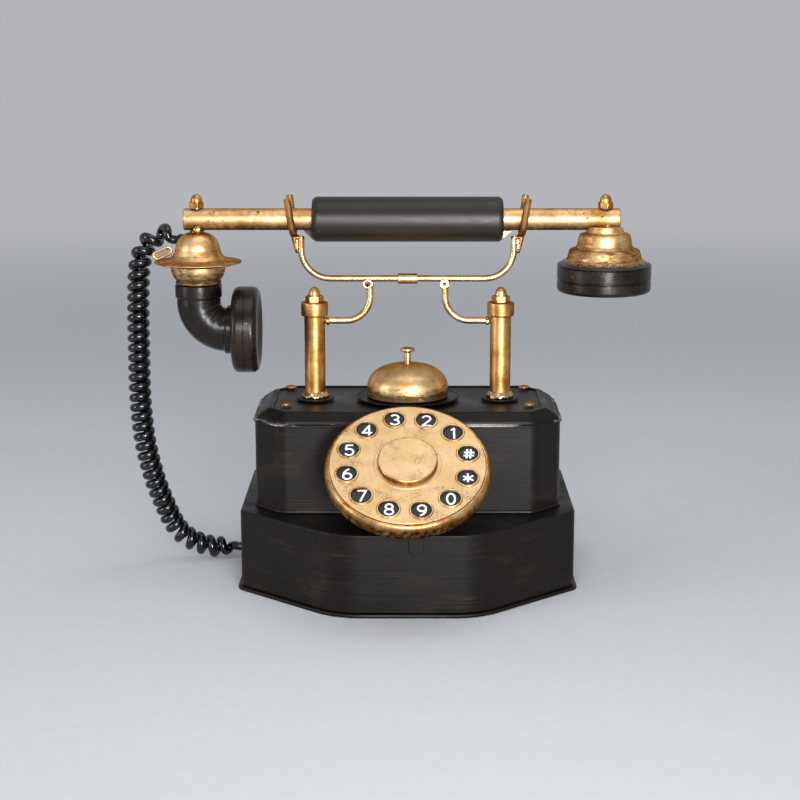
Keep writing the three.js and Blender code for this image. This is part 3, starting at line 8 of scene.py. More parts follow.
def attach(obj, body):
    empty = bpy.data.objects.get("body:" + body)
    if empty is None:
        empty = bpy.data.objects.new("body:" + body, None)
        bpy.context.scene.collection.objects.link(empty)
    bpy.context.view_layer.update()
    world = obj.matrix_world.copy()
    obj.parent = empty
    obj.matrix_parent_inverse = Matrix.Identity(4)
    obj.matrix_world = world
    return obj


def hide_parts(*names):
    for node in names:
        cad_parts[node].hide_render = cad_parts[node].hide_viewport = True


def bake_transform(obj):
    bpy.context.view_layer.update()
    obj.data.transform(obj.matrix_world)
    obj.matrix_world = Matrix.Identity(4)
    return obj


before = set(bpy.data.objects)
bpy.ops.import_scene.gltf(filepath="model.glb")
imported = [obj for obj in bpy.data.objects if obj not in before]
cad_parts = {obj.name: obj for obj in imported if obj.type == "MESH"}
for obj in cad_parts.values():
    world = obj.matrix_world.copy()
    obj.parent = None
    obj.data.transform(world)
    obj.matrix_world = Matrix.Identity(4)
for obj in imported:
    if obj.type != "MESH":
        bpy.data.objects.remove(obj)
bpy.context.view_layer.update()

# ---------------------------------------------------------------- camera
# It stands straight in front of the telephone, as far off as someone about to sit down at the
# desk, and looks slightly down at it.
CAMERA_AWAY = 1.2  # metres from the middle of the case
CAMERA_HEIGHT = 0.3855
CAMERA_PITCH = 12.12  # degrees below level
CAMERA_LENS = 79.46  # mm, on a sensor 36 mm wide

camera_data = bpy.data.cameras.new("camera")
camera_data.sensor_width = 36
camera_data.lens = CAMERA_LENS
camera_data.shift_x = -0.0095
camera = bpy.data.objects.new("camera", camera_data)
camera.location = (0, -CAMERA_AWAY, CAMERA_HEIGHT)
camera.rotation_euler = (math.radians(90 - CAMERA_PITCH), 0, 0)
bpy.context.collection.objects.link(camera)
bpy.context.scene.camera = camera
bpy.context.scene.view_settings.view_transform = "Standard"

# ---------------------------------------------------------------- curly cord
# A wire in a glossy rubber jacket, wound on a mandrel and set by heat into tight curls. It leaves
# the outlet behind the mouthpiece, hangs beside the case and goes in low on the case's left side.
MM = 0.001
WIRE_R = 3.1
CURL_R = 4.95  # from the middle of the cord to the middle of the wire
CURL_PITCH = 7
CURL_STEPS = 22  # points in each curl
POST_Y = 14
MOUTH_X = -145
OUTLET_TURN = 139  # degrees from +X, round the mouthpiece
OUTLET_Z = 236.45
DOME_AT_OUTLET = 14
OUTLET_LENGTH = 4
GLAND = Vector((-118.3, 45, 8.4))
CORD_LEAD = 4  # straight wire at the gland
OUTLET_LEAD = 0.5
CORD_STEPS = 1600  # points on the cord's middle line
SWELL = 2.5 * CURL_PITCH  # the curls grow to their full size over this length
SLOW_START = 0.15  # share of the full winding speed where the curls are smallest
BEND_SLOWING = 1.5  # how much a bend slows the winding, so that curls inside it stay apart
BEND_SPAN = 8  # points on each side over which a bend is judged
POINT_GAP = 0.9  # least distance between two points of the wire

outlet_out = Vector((math.cos(math.radians(OUTLET_TURN)), math.sin(math.radians(OUTLET_TURN)), 0))
cord_start = Vector((MOUTH_X, POST_Y, OUTLET_Z)) + outlet_out * (DOME_AT_OUTLET + OUTLET_LENGTH + 0.3)
CORD_SPOTS = [
    cord_start,
    cord_start + outlet_out * CORD_LEAD,
    *(cord_start + Vector(away) for away in (
        (-12.4, 7.4, 3.4), (-19.4, 7.4, 0.2), (-25.2, 5.9, -6.6), (-28.4, 3.4, -16.2),
        (-29.9, 0, -38.2), (-30.4, -2, -76.2), (-30.4, -2, -116.2), (-27.4, 1, -151.2),
        (-18.4, 7, -188.2))),
    *(GLAND + Vector(away) for away in (
        (-46, -5, 11.6), (-28, -1, 1.2), (-2 * CORD_LEAD, 0, 0), (-CORD_LEAD, 0, 0))),
    GLAND,
]


def smooth_line(spots, count):
    """Evenly spaced points of a smooth line through the spots."""
    spots = [Vector(spot) for spot in spots]
    ends = [spots[0] * 2 - spots[1], *spots, spots[-1] * 2 - spots[-2]]
    fine = [spots[0]]
    for p0, p1, p2, p3 in zip(ends, ends[1:], ends[2:], ends[3:]):
        d0, d1, d2 = ((b - a).length ** 0.5 for a, b in ((p0, p1), (p1, p2), (p2, p3)))
        t1 = ((p1 - p0) / d0 - (p2 - p0) / (d0 + d1) + (p2 - p1) / d1) * d1
        t2 = ((p2 - p1) / d1 - (p3 - p1) / (d1 + d2) + (p3 - p2) / d2) * d1
        for i in range(1, 101):
            t = i / 100
            fine.append(p1 + t1 * t + (p2 * 3 - p1 * 3 - t1 * 2 - t2) * t ** 2
                        + (p1 * 2 - p2 * 2 + t1 + t2) * t ** 3)
    along = [0.0]
    for a, b in zip(fine, fine[1:]):
        along.append(along[-1] + (b - a).length)
    result, j = [], 0
    for i in range(count + 1):
        want = along[-1] * i / count
        while j < len(fine) - 2 and along[j + 1] < want:
            j += 1
        share = (want - along[j]) / max(along[j + 1] - along[j], 1e-9)
        result.append(fine[j].lerp(fine[j + 1], min(max(share, 0), 1)))
    return result, along[-1]


def facings(line, first=None):
    """A tangent and a normal for each point of a line, turned no more than the line turns."""
    last = len(line) - 1
    tangents = [(line[min(i + 1, last)] - line[max(i - 1, 0)]).normalized() for i in range(last + 1)]
    normal = first or tangents[0].orthogonal().normalized()
    result = []
    for i, tangent in enumerate(tangents):
        if i:
            normal = tangents[i - 1].rotation_difference(tangent) @ normal
        normal = (normal - tangent * normal.dot(tangent)).normalized()
        result.append((tangent, normal, tangent.cross(normal)))
    return result


def swept(line, radii, sides=20, first=None):
    """A round bar along a line of points, with one radius for each point."""
    corners, faces = [], []
    for spot, radius, (_, normal, across) in zip(line, radii, facings(line, first)):
        for k in range(sides):
            angle = 2 * math.pi * k / sides
            corners.append(spot + (normal * math.cos(angle) + across * math.sin(angle)) * radius)
    for i in range(len(line) - 1):
        for k in range(sides):
            n = (k + 1) % sides
            faces.append((i * sides + k, i * sides + n, (i + 1) * sides + n, (i + 1) * sides + k))
    faces.append(tuple(range(sides - 1, -1, -1)))
    faces.append(tuple((len(line) - 1) * sides + k for k in range(sides)))
    return corners, faces


def linear(code):
    """The linear colour of an sRGB one written as hex."""
    shares = [int(code[i:i + 2], 16) / 255 for i in (1, 3, 5)]
    return [*(s / 12.92 if s <= 0.04045 else ((s + 0.055) / 1.055) ** 2.4 for s in shares), 1]


def add(tree, kind, links=None, **settings):
    """A node with its settings and sockets, each a value or another node's output."""
    made = tree.nodes.new("ShaderNode" + kind) if isinstance(kind, str) else kind
    for name, value in settings.items():
        setattr(made, name, value)
    for socket, value in (links or {}).items():
        if isinstance(value, bpy.types.NodeSocket):
            tree.links.new(value, made.inputs[socket])
        else:
            made.inputs[socket].default_value = value
    return made


class Finish:
    """A material in the making. Each step adds a node and returns its output."""

    def __init__(self, name):
        self.material = bpy.data.materials.new(name)
        self.material.use_nodes = True
        self.tree = self.material.node_tree
        coords = self.step("TexCoord", None, None)
        self.place, self.facing = coords["Object"], coords["Normal"]

    def step(self, kind, links, out=0, **settings):
        outputs = add(self.tree, kind, links, **settings).outputs
        return outputs if out is None else outputs[out]

    def noise(self, size, detail, roughness=0.5, stretch=None):
        """Clouds about size millimetres across, squeezed along each axis by stretch."""
        place = self.step("Mapping", {"Vector": self.place,
                                      "Scale": stretch}) if stretch else self.place
        return self.step("TexNoise", {
            "Vector": place, "Scale": 1000 / size, "Detail": detail, "Roughness": roughness,
        })

    def ramp(self, value, low, high, start=0.0, end=1.0):
        return self.step("MapRange", {0: value, 1: low, 2: high, 3: start, 4: end})

    def mix(self, share, first, second):
        """A colour between two, each a hex code or an output."""
        first, second = (linear(c) if isinstance(c, str) else c for c in (first, second))
        return self.step("Mix", {0: share, 6: first, 7: second}, 2, data_type="RGBA")

    def calc(self, operation, first, second, **settings):
        return self.step("Math", {0: first, 1: second}, operation=operation, **settings)

    def height(self):
        return self.step("SeparateXYZ", {0: self.place}, "Z")

    def bump(self, strength, depth, height, under=None):
        """Relief of a depth in millimetres, on top of another relief."""
        links = {"Strength": strength, "Distance": depth * MM, "Height": height}
        return self.step("Bump", {**links, "Normal": under} if under else links)

    def done(self, slot, colour, gloss, normal=None, **more):
        """Sets the shader, and returns the material with the slot it belongs to."""
        links = {"Base Color": colour, "Roughness": gloss, **({"Normal": normal} if normal else {})}
        links.update((name.replace("_", " "), value) for name, value in more.items())
        add(self.tree, self.tree.nodes["Principled BSDF"], links)
        return self.material, slot


def piece(name, shape, look, body, *stands_for, sharp=38):
    """A named mesh from corners in millimetres, riding a body in place of CAD nodes."""
    material, slot = look
    work = bmesh.new()
    spots = [work.verts.new(Vector(corner) * MM) for corner in shape[0]]
    for face in shape[1]:
        work.faces.new([spots[i] for i in face])
    bmesh.ops.remove_doubles(work, verts=work.verts, dist=2e-7)
    bmesh.ops.dissolve_degenerate(work, edges=work.edges, dist=1e-7)
    bmesh.ops.recalc_face_normals(work, faces=work.faces)
    mesh = bpy.data.meshes.new(name)
    work.to_mesh(mesh)
    work.free()
    mesh.shade_smooth()
    mesh.set_sharp_from_angle(angle=math.radians(sharp))
    mesh.materials.append(material)
    made = bpy.data.objects.new(name, mesh)
    bpy.context.collection.objects.link(made)
    made.modifiers.new("flat faces stay flat", "WEIGHTED_NORMAL").keep_sharp = True
    if body:
        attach(made, body)
    if stands_for:
        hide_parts(*stands_for)
    return made


def rubber_jacket():
    """Glossy black rubber: wet-looking highlights, hazed here and there by handling and dust."""
    rubber = Finish("glossy rubber jacket")
    haze = rubber.noise(9, 5)
    dust = rubber.noise(0.7, 3)
    return rubber.done(
        "cord_black", rubber.mix(rubber.ramp(haze, 0.42, 0.7), "#040405", "#0E0D10"),
        rubber.ramp(haze, 0.35, 0.7, 0.12, 0.22), rubber.bump(0.12, 0.05, dust), IOR=1.55)


cord_line, cord_span = smooth_line(CORD_SPOTS, CORD_STEPS)
cord_facing = facings(cord_line, Vector((0, 0, -1)))
cord_step = cord_span / CORD_STEPS
wire, turn, due = [cord_line[0]], 0.0, 0.0
for i, (_, normal, across) in enumerate(cord_facing):
    spare = min(i * cord_step - OUTLET_LEAD, cord_span - i * cord_step - CORD_LEAD)
    swell = min(max(spare, 0) / SWELL, 1)
    swell = swell * swell * (3 - 2 * swell)
    spot = cord_line[i] + (normal * math.cos(turn) + across * math.sin(turn)) * CURL_R * swell
    if turn >= due and (spot - wire[-1]).length > POINT_GAP:
        wire.append(spot)
        due += 2 * math.pi / CURL_STEPS
    before = cord_facing[max(i - BEND_SPAN, 0)][0]
    after = cord_facing[min(i + BEND_SPAN, CORD_STEPS)][0]
    bend = before.angle(after, 0) / (2 * BEND_SPAN * cord_step)
    speed = (SLOW_START + (1 - SLOW_START) * swell) * (1 - min(bend * CURL_R * BEND_SLOWING, 0.6))
    turn += 2 * math.pi * cord_step * speed / CURL_PITCH
wire[-1] = cord_line[-1]

cord = piece("curly_cord_jacket", swept(wire, [WIRE_R] * len(wire), 14), rubber_jacket(), None,
             "curly_cord", sharp=60)
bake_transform(cord)

# ---------------------------------------------------------------- case, lid and base plate
# Two folded sheet-steel tiers with cut corners, a pressed lid and a base plate with a rolled edge,
# sprayed with satin black paint that is rubbed along its brush lines and worn on its edges.
SHEET = 1.5
LOWER_PLAN = [(-115, 90, 8), (-115, -30, 7), (-47, -90, 42), (47, -90, 42), (115, -30, 7), (115, 90, 8)]
UPPER_PLAN = [
    (-105, 51, 12), (-105, -18.5, 12), (-87, -37.5, 12), (87, -37.5, 12),
    (105, -18.5, 12), (105, 51, 12), (87, 70, 12), (-87, 70, 12),
]
PLATE_TOP = 2.8
LOWER_FOOT = 3.1
LOWER_TOP = 56.6
UPPER_FOOT = 56.9
UPPER_TOP = 116.4
LID_FOOT = 116.7
LIP_TOP = 118.4
LID_TOP = 126


def corner_of(plan, i):
    """A corner of a plan, and the directions in which its outline comes to it and leaves it."""
    before, here, after = (Vector(plan[n % len(plan)][:2]) for n in (i - 1, i, i + 1))
    return here, (here - before).normalized(), (after - here).normalized()


def inset(plan, distance):
    """Moves each side of a plan in by a distance. A corner is x, y and its rounding."""
    result = []
    for i, (_, _, rounding) in enumerate(plan):
        here, inward, onward = corner_of(plan, i)
        side = Vector((-inward.y, inward.x)) + Vector((-onward.y, onward.x))
        spot = here + side * distance / (1 + inward.dot(onward))
        result.append((spot.x, spot.y, max(rounding - distance, 0.4)))
    return result


def over_plan(corners, levels, ring=False, steps=14):
    """A body over a plan: an outline for each inset and height, closed by lids or on itself."""
    rows = []
    for distance, z in levels:
        row, plan = [], inset(corners, distance)
        for i, (_, _, rounding) in enumerate(plan):
            here, inward, onward = corner_of(plan, i)
            turn = inward.angle(onward)
            left = Vector((-inward.y, inward.x))
            centre = here - inward * rounding * math.tan(turn / 2) + left * rounding
            start = math.atan2(-inward.x, inward.y)
            for k in range(steps + 1):
                angle = start + turn * k / steps
                row.append((centre.x + rounding * math.cos(angle),
                            centre.y + rounding * math.sin(angle), z))
        rows.append(row)
    return skinned(rows, ring)


def skinned(rows, ring=False):
    """The skin over rows of equally many points."""
    count = len(rows[0])
    faces = []
    for i in range(len(rows) - (0 if ring else 1)):
        low, high = i * count, (i + 1) % len(rows) * count
        faces += [(low + k, low + (k + 1) % count, high + (k + 1) % count,
                   high + k) for k in range(count)]
    if not ring:
        faces.append(tuple(range(count - 1, -1, -1)))
        faces.append(tuple((len(rows) - 1) * count + k for k in range(count)))
    return [spot for row in rows for spot in row], faces


def arc(cx, cy, rx, ry, start, end, steps):
    """Points of an arc in a profile."""
    angles = [math.radians(start + (end - start) * i / steps) for i in range(steps + 1)]
    return [(cx + rx * math.cos(a), cy + ry * math.sin(a)) for a in angles]


def eased(profile, rounding, steps=4):
    """Rounds the corners of a profile. A point may carry a rounding of its own as a third number."""
    ring = profile[0][0] > 0 and profile[-1][0] > 0
    result = []
    for i, point in enumerate(profile):
        here = Vector(point[:2])
        if not ring and i in (0, len(profile) - 1):
            result.append(tuple(here))
            continue
        before = Vector(profile[i - 1][:2]) - here
        after = Vector(profile[(i + 1) % len(profile)][:2]) - here
        own = point[2] if len(point) > 2 else rounding
        turn = math.pi - before.angle(after)
        if turn < 0.05 or own <= 0:
            result.append(tuple(here))
            continue
        reach = min(own * math.tan(turn / 2), 0.46 * before.length, 0.46 * after.length)
        start, end = here + before.normalized() * reach, here + after.normalized() * reach
        for k in range(steps + 1):
            t = k / steps
            result.append(tuple(start * (1 - t) ** 2 + here * 2 * t * (1 - t) + end * t * t))
    return result


def satin_paint(name, worn_edge=None):
    """Satin black paint on brushed steel: a soft sheen drawn out along level lines, with brown rub
    marks where hands and cloths have thinned it. worn_edge is the height of a bright lip."""
    paint = Finish(name)
    # The brush lines are drawn 1.1 mm apart so that they show.
    lines = paint.noise(1.1, 4, 0.65, (0.03, 0.03, 1.0))
    rub = paint.noise(16, 8, 0.68, (0.35, 0.35, 1.0))
    broad = paint.noise(60, 3)
    grit = paint.noise(0.8, 2)
    worn = paint.calc("MULTIPLY", paint.ramp(rub, 0.53, 0.75), paint.ramp(lines, 0.4, 0.62))
    tint = paint.mix(worn, paint.mix(broad, "#080503", "#110B07"), "#33271D")
    if worn_edge:
        near = paint.step("Math", {0: paint.height(), 1: worn_edge * MM, 2: 0.7 * MM},
                          operation="COMPARE")
        tint = paint.mix(paint.calc("MULTIPLY", near, paint.ramp(rub, 0.47, 0.56)), tint, "#A5A3A2")
    sheen = paint.calc("ADD", paint.ramp(lines, 0.3, 0.7, 0.3, 0.54),
                       paint.ramp(broad, 0.3, 0.7, -0.03, 0.05))
    fine = paint.bump(0.5, 0.12, paint.calc("ADD", lines, grit))
    return paint.done("black_paint", tint, sheen, paint.bump(0.35, 0.5, broad, fine),
                      Specular_IOR_Level=0.2)


case_paint = satin_paint("satin black paint")
lid_paint = satin_paint("satin black paint on the lid", worn_edge=LIP_TOP - 0.2)

piece("base_plate_rolled", over_plan(LOWER_PLAN, [
    (-1.2, 0), (-2.1, 0.35), (-2.4, 1.0), (-2.4, 1.8), (-2.1, 2.45), (-1.4, PLATE_TOP),
    (-0.4, PLATE_TOP),
]), case_paint, "base", "base_plate")

piece("lower_case_painted", over_plan(LOWER_PLAN, [
    (SHEET, LOWER_TOP - SHEET), (SHEET, LOWER_FOOT), (0.3, LOWER_FOOT), (0, LOWER_FOOT + 0.4),
    *arc(1.3, LOWER_TOP - 1.3, -1.3, 1.3, 0, 90, 5), (2.2, LOWER_TOP),
]), case_paint, "base", "lower_case")

piece("upper_case_painted", over_plan(UPPER_PLAN, [
    (SHEET, UPPER_FOOT), (-0.6, UPPER_FOOT), (-0.9, UPPER_FOOT + 0.3), (-0.9, UPPER_FOOT + 1.2),
    (-0.5, UPPER_FOOT + 1.75), (0, UPPER_FOOT + 2.1), (0, UPPER_FOOT + 2.6), (0, UPPER_TOP),
    (SHEET, UPPER_TOP),
], ring=True), case_paint, "base", "upper_case")

lid_sides = eased([
    (0.4, LIP_TOP), (0.9, LIP_TOP + 0.4, 0.3), (1.5, LIP_TOP + 2.2, 1.2), (9.4, LID_TOP - 0.35, 2.5),
    (14, LID_TOP),
], 0.5, 6)
piece("lid_painted", over_plan(UPPER_PLAN, [
    (SHEET * 2, LID_FOOT), (-0.9, LID_FOOT), (-1.2, LID_FOOT + 0.3), (-1.2, LIP_TOP - 0.35),
    (-0.85, LIP_TOP), *lid_sides,
]), lid_paint, "base", "lid")

# ---------------------------------------------------------------- lid rivets
# Four domed brass rivets hold the lid down near its corners. They are lacquered like the posts
# and stand a little proud of the lid.
RIVETS = {"front_left": (-84, -8), "front_right": (84, -8), "back_left": (-84, 50),
          "back_right": (84, 50)}


def turned(profile, segments=96):
    """Turns a profile of radius and height about Z. Off the axis it is closed on itself."""
    ring = profile[0][0] > 0 and profile[-1][0] > 0
    corners, rows, faces = [], [], []
    for radius, z in profile:
        if radius <= 0:
            rows.append([len(corners)] * segments)
            corners.append((0, 0, z))
            continue
        rows.append(list(range(len(corners), len(corners) + segments)))
        for k in range(segments):
            angle = 2 * math.pi * k / segments
            corners.append((radius * math.cos(angle), radius * math.sin(angle), z))
    for i in range(len(rows) - (0 if ring else 1)):
        low, high = rows[i], rows[(i + 1) % len(rows)]
        for k in range(segments):
            n = (k + 1) % segments
            around = list(dict.fromkeys((low[k], low[n], high[n], high[k])))
            if len(around) > 2:
                faces.append(tuple(around))
    return corners, faces


def moved(shape, *steps):
    """The shape after turns and moves, given in their order."""
    whole = Matrix.Identity(4)
    for step in steps:
        whole = step @ whole
    return [whole @ Vector(corner) for corner in shape[0]], shape[1]


def to(x, y, z):
    return Matrix.Translation((x, y, z))


def about(axis, degrees):
    return Matrix.Rotation(math.radians(degrees), 4, axis)


def merged(*shapes):
    corners, faces = [], []
    for more, sides in shapes:
        faces += [tuple(i + len(corners) for i in face) for face in sides]
        corners += more
    return corners, faces


def lumpy(shape, height, size, seed=0):
    """Moves each corner a little, as hammered or welded metal swells and sinks. The noise has no
    seed of its own, so the lumps fall a little differently in each run."""
    def nudge(c):
        spot = Vector(c) / size + Vector((seed, 0, 0))
        return Vector(c) + noise.noise_vector(spot) * height
    return [nudge(c) for c in shape[0]], shape[1]


def antique_gold(name, light, deep, wax_and_shade, cover=0.5, rough=0.34, hammer=0.15, shaded=0.6,
                 turned_from=0.1, darkening_heights=None, smudged=False):
    """Gold lacquer over brass, rubbed with dark wax and wiped off, with painted shade on its undersides
    in the wax's colour. cover is how much wax stays, and shaded how dark the painted underside shade
    is, beginning where the surface faces up by turned_from. The pair of heights makes the gold darker
    in patches towards the lower one, and smudged adds soiled patches."""
    gold = Finish(name)
    cloud = gold.noise(13, 6, 0.6)
    mottle = gold.noise(3.2, 5, 0.62)
    speck = gold.noise(0.7, 2)
    tint = gold.mix(gold.ramp(cloud, 0.36, 0.64), light, deep)
    low = 0.72 - 0.3 * cover
    film = gold.ramp(mottle, low, low + 0.16)
    wax = gold.calc("MAXIMUM", film, gold.ramp(speck, 0.66 - 0.06 * cover, 0.74, 0.0, 0.7))
    # Painted shade: where the surface faces down, the gold is mixed towards the dark wax colour, broken
    # up by the mottle.
    down = gold.step("SeparateXYZ", {0: gold.facing}, "Z")
    under = gold.ramp(down, turned_from, turned_from - 0.95, 0.0, shaded)
    broken = gold.calc("MULTIPLY", under, gold.ramp(mottle, 0.3, 0.6, 0.55, 1.0))
    dark = gold.calc("MAXIMUM", wax, broken, use_clamp=True)
    # Darker towards the lower of the two heights, in patches of the same dark colour.
    if darkening_heights:
        low_share = gold.ramp(gold.height(), darkening_heights[1] * MM, darkening_heights[0] * MM, 0.0, 0.55)
        low_patches = gold.calc("ADD", gold.noise(2.2, 6, 0.65, (0.3, 0.3, 1.0)), low_share)
        dark = gold.calc("MAXIMUM", dark, gold.ramp(low_patches, 0.66, 0.92, 0.0, 0.85))
    if smudged:
        patch, pits = gold.noise(17, 3), gold.noise(1.3, 5, 0.7)
        soil = gold.calc("MULTIPLY", gold.ramp(patch, 0.52, 0.68), gold.ramp(pits, 0.46, 0.6))
        dark = gold.calc("MAXIMUM", dark, soil)
    gloss = gold.calc("ADD", gold.ramp(speck, 0.3, 0.7, rough - 0.05, rough + 0.07),
                      gold.calc("MULTIPLY", dark, 0.22))
    beaten = gold.bump(0.6, hammer, mottle, gold.bump(0.25, 0.06, speck))
    return gold.done("antique_gold", gold.mix(dark, tint, wax_and_shade), gloss, beaten, Metallic=1.0,
                     Specular_Tint=linear("#A87848"))


cradle_gold = antique_gold("antique gold lacquer", "#E4B474", "#A8733C", "#2E1A0A", cover=0.34,
                           rough=0.36)
rivet_head = turned([(0, 126.3), (3.6, 126.3), (4, 126.7), *arc(0, 126.7, 4, 1.3, 8, 90, 8)], 40)
for where, (x, y) in RIVETS.items():
    piece(f"rivet_head_{where}", moved(rivet_head, to(x, y, 0)), cradle_gold, "base",
          f"lid_rivet_{where}")

# ---------------------------------------------------------------- posts
# Brass tubes bolted through the lid. Each stands on a black washer in a rough bead of weld and
# carries a turned collar with a domed nut on it.
POST_X = 64.75


def domed_nut(across, hex_height, dome_radius, dome_height):
    """A hexagon whose top corners are turned off, under a dome."""
    segments, flat = 72, across / 2
    rows = []
    shoulders = ((0, 1.1), (0.35, 1.2), (hex_height - 0.7, 1.2), (hex_height - 0.25, 1.09),
                 (hex_height, 1.0))
    for z, limit in shoulders:
        row = []
        for k in range(segments):
            angle = 2 * math.pi * k / segments
            side = flat / math.cos((angle + math.pi / 6) % (math.pi / 3) - math.pi / 6)
            radius = min(side, flat * limit)
            row.append((radius * math.cos(angle), radius * math.sin(angle), z))
        rows.append(row)
    dome = eased([(0, hex_height - 0.5), (dome_radius, hex_height - 0.5),
                  (dome_radius, hex_height + 0.6)], 0)
    dome += arc(0, hex_height + 0.6, dome_radius, dome_height - 0.6, 6, 90, 12)
    return merged(skinned(rows), turned(dome, 48))


weld_gold = antique_gold("weld bead in gold lacquer", "#F2D5A6", "#C99A62", "#2E1F14", cover=0.7,
                         rough=0.22, hammer=0.5)
for sign, side in ((-1, "left"), (1, "right")):
    x = sign * POST_X
    here = to(x, POST_Y, 0)
    washer = turned(eased([(3.3, 126.3), (13.5, 126.3), (13.5, 127.1), (3.3, 127.1)], 0.3), 72)
    piece(f"washer_{side}", moved(washer, here), case_paint, "base", f"post_washer_{side}")
    shaft = turned([(5.3, 127.4), (7.25, 127.4), (7.25, 130), (7.25, 184.2), (6.95, 184.7),
                    (5.3, 184.7)], 64)
    bead = turned(eased([(6.9, 127.4), (9.5, 127.4), (9.6, 129), (8.2, 130.8), (7.2, 131.6),
                         (6.9, 131.4)], 0.7), 90)
    bead = lumpy(moved(bead, here), 0.75, 2.1, sign)
    bead = [(c[0], c[1], max(c[2], 127.15)) for c in bead[0]], bead[1]
    piece(f"post_tube_{side}", moved(shaft, here), cradle_gold, "base", f"post_{side}")
    piece(f"post_weld_{side}", bead, weld_gold, "base")
    collar = turned(eased([(3.3, 185), (9.35, 185), (9.35, 194.5), (3.3, 194.5)], 1.1, 6), 64)
    piece(f"collar_{side}", moved(collar, here), cradle_gold, "base", f"post_collar_{side}")
    nut = moved(domed_nut(11, 4.2, 4.1, 6.2), about("Z", 30), to(x, POST_Y, 194.8))
    piece(f"domed_nut_{side}", nut, cradle_gold, "base", f"post_nut_{side}")

# ---------------------------------------------------------------- cradle
# Bent brass rod: two arms rise from the posts to short cross tubes, two rails lie on these and
# meet in a sleeve, and their upright ends carry the forks. All of it is brazed and lacquered.
ARM_R = 2.3
ARM_Z = 181.5
ARM_TOP_X = 26
CROSS_Z = 207.6
RAIL_R = 2.2
RAIL_Z = 211
RAIL_TURN_X = 73.4
RAIL_END_Z = 240.5
FORK_R = 2.4
FORK_X = 78.6
FORK_LOW_Z = 242
FORK_ROUND = 10.05  # bent round the handset's tube
FORK_RISE = 25.5
FORK_HALF_ANGLE = 15
FORK_LEAN = 7.5
FORK_FOOT_Z = 229.6


def bent(spots, bends, step=6):
    """The middle line of a rod with straight runs and round bends."""
    line = [Vector(spots[0])]
    for i, radius in enumerate(bends):
        corner = Vector(spots[i + 1])
        inward = (corner - Vector(spots[i])).normalized()
        onward = (Vector(spots[i + 2]) - corner).normalized()
        turn = inward.angle(onward)
        start = corner - inward * radius * math.tan(turn / 2)
        side = (onward - inward * onward.dot(inward)).normalized()
        count = max(3, round(math.degrees(turn) / step))
        for k in range(count + 1):
            a = turn * k / count
            line.append(start + side * radius * (1 - math.cos(a)) + inward * radius * math.sin(a))
    line.append(Vector(spots[-1]))
    return line


def rod(spots, bends, radius, edge=0.4, sides=28):
    """A bent rod whose two ends are slightly chamfered."""
    line = bent(spots, bends)
    for at, after in ((0, 1), (-1, -2)):
        inward = (line[after] - line[at]).normalized()
        line.insert(1 if at == 0 else len(line) - 1, line[at] + inward * edge)
    radii = [radius - edge, *[radius] * (len(line) - 2), radius - edge]
    return swept(line, radii, sides)


def ball(x, y, z, rx, ry, rz):
    """A bead of filler metal."""
    return moved(turned([(0, -1), *arc(0, 0, 1, 1, -72, 72, 8), (0, 1)], 28),
                 Matrix.Diagonal((rx, ry, rz, 1)), to(x, y, z))


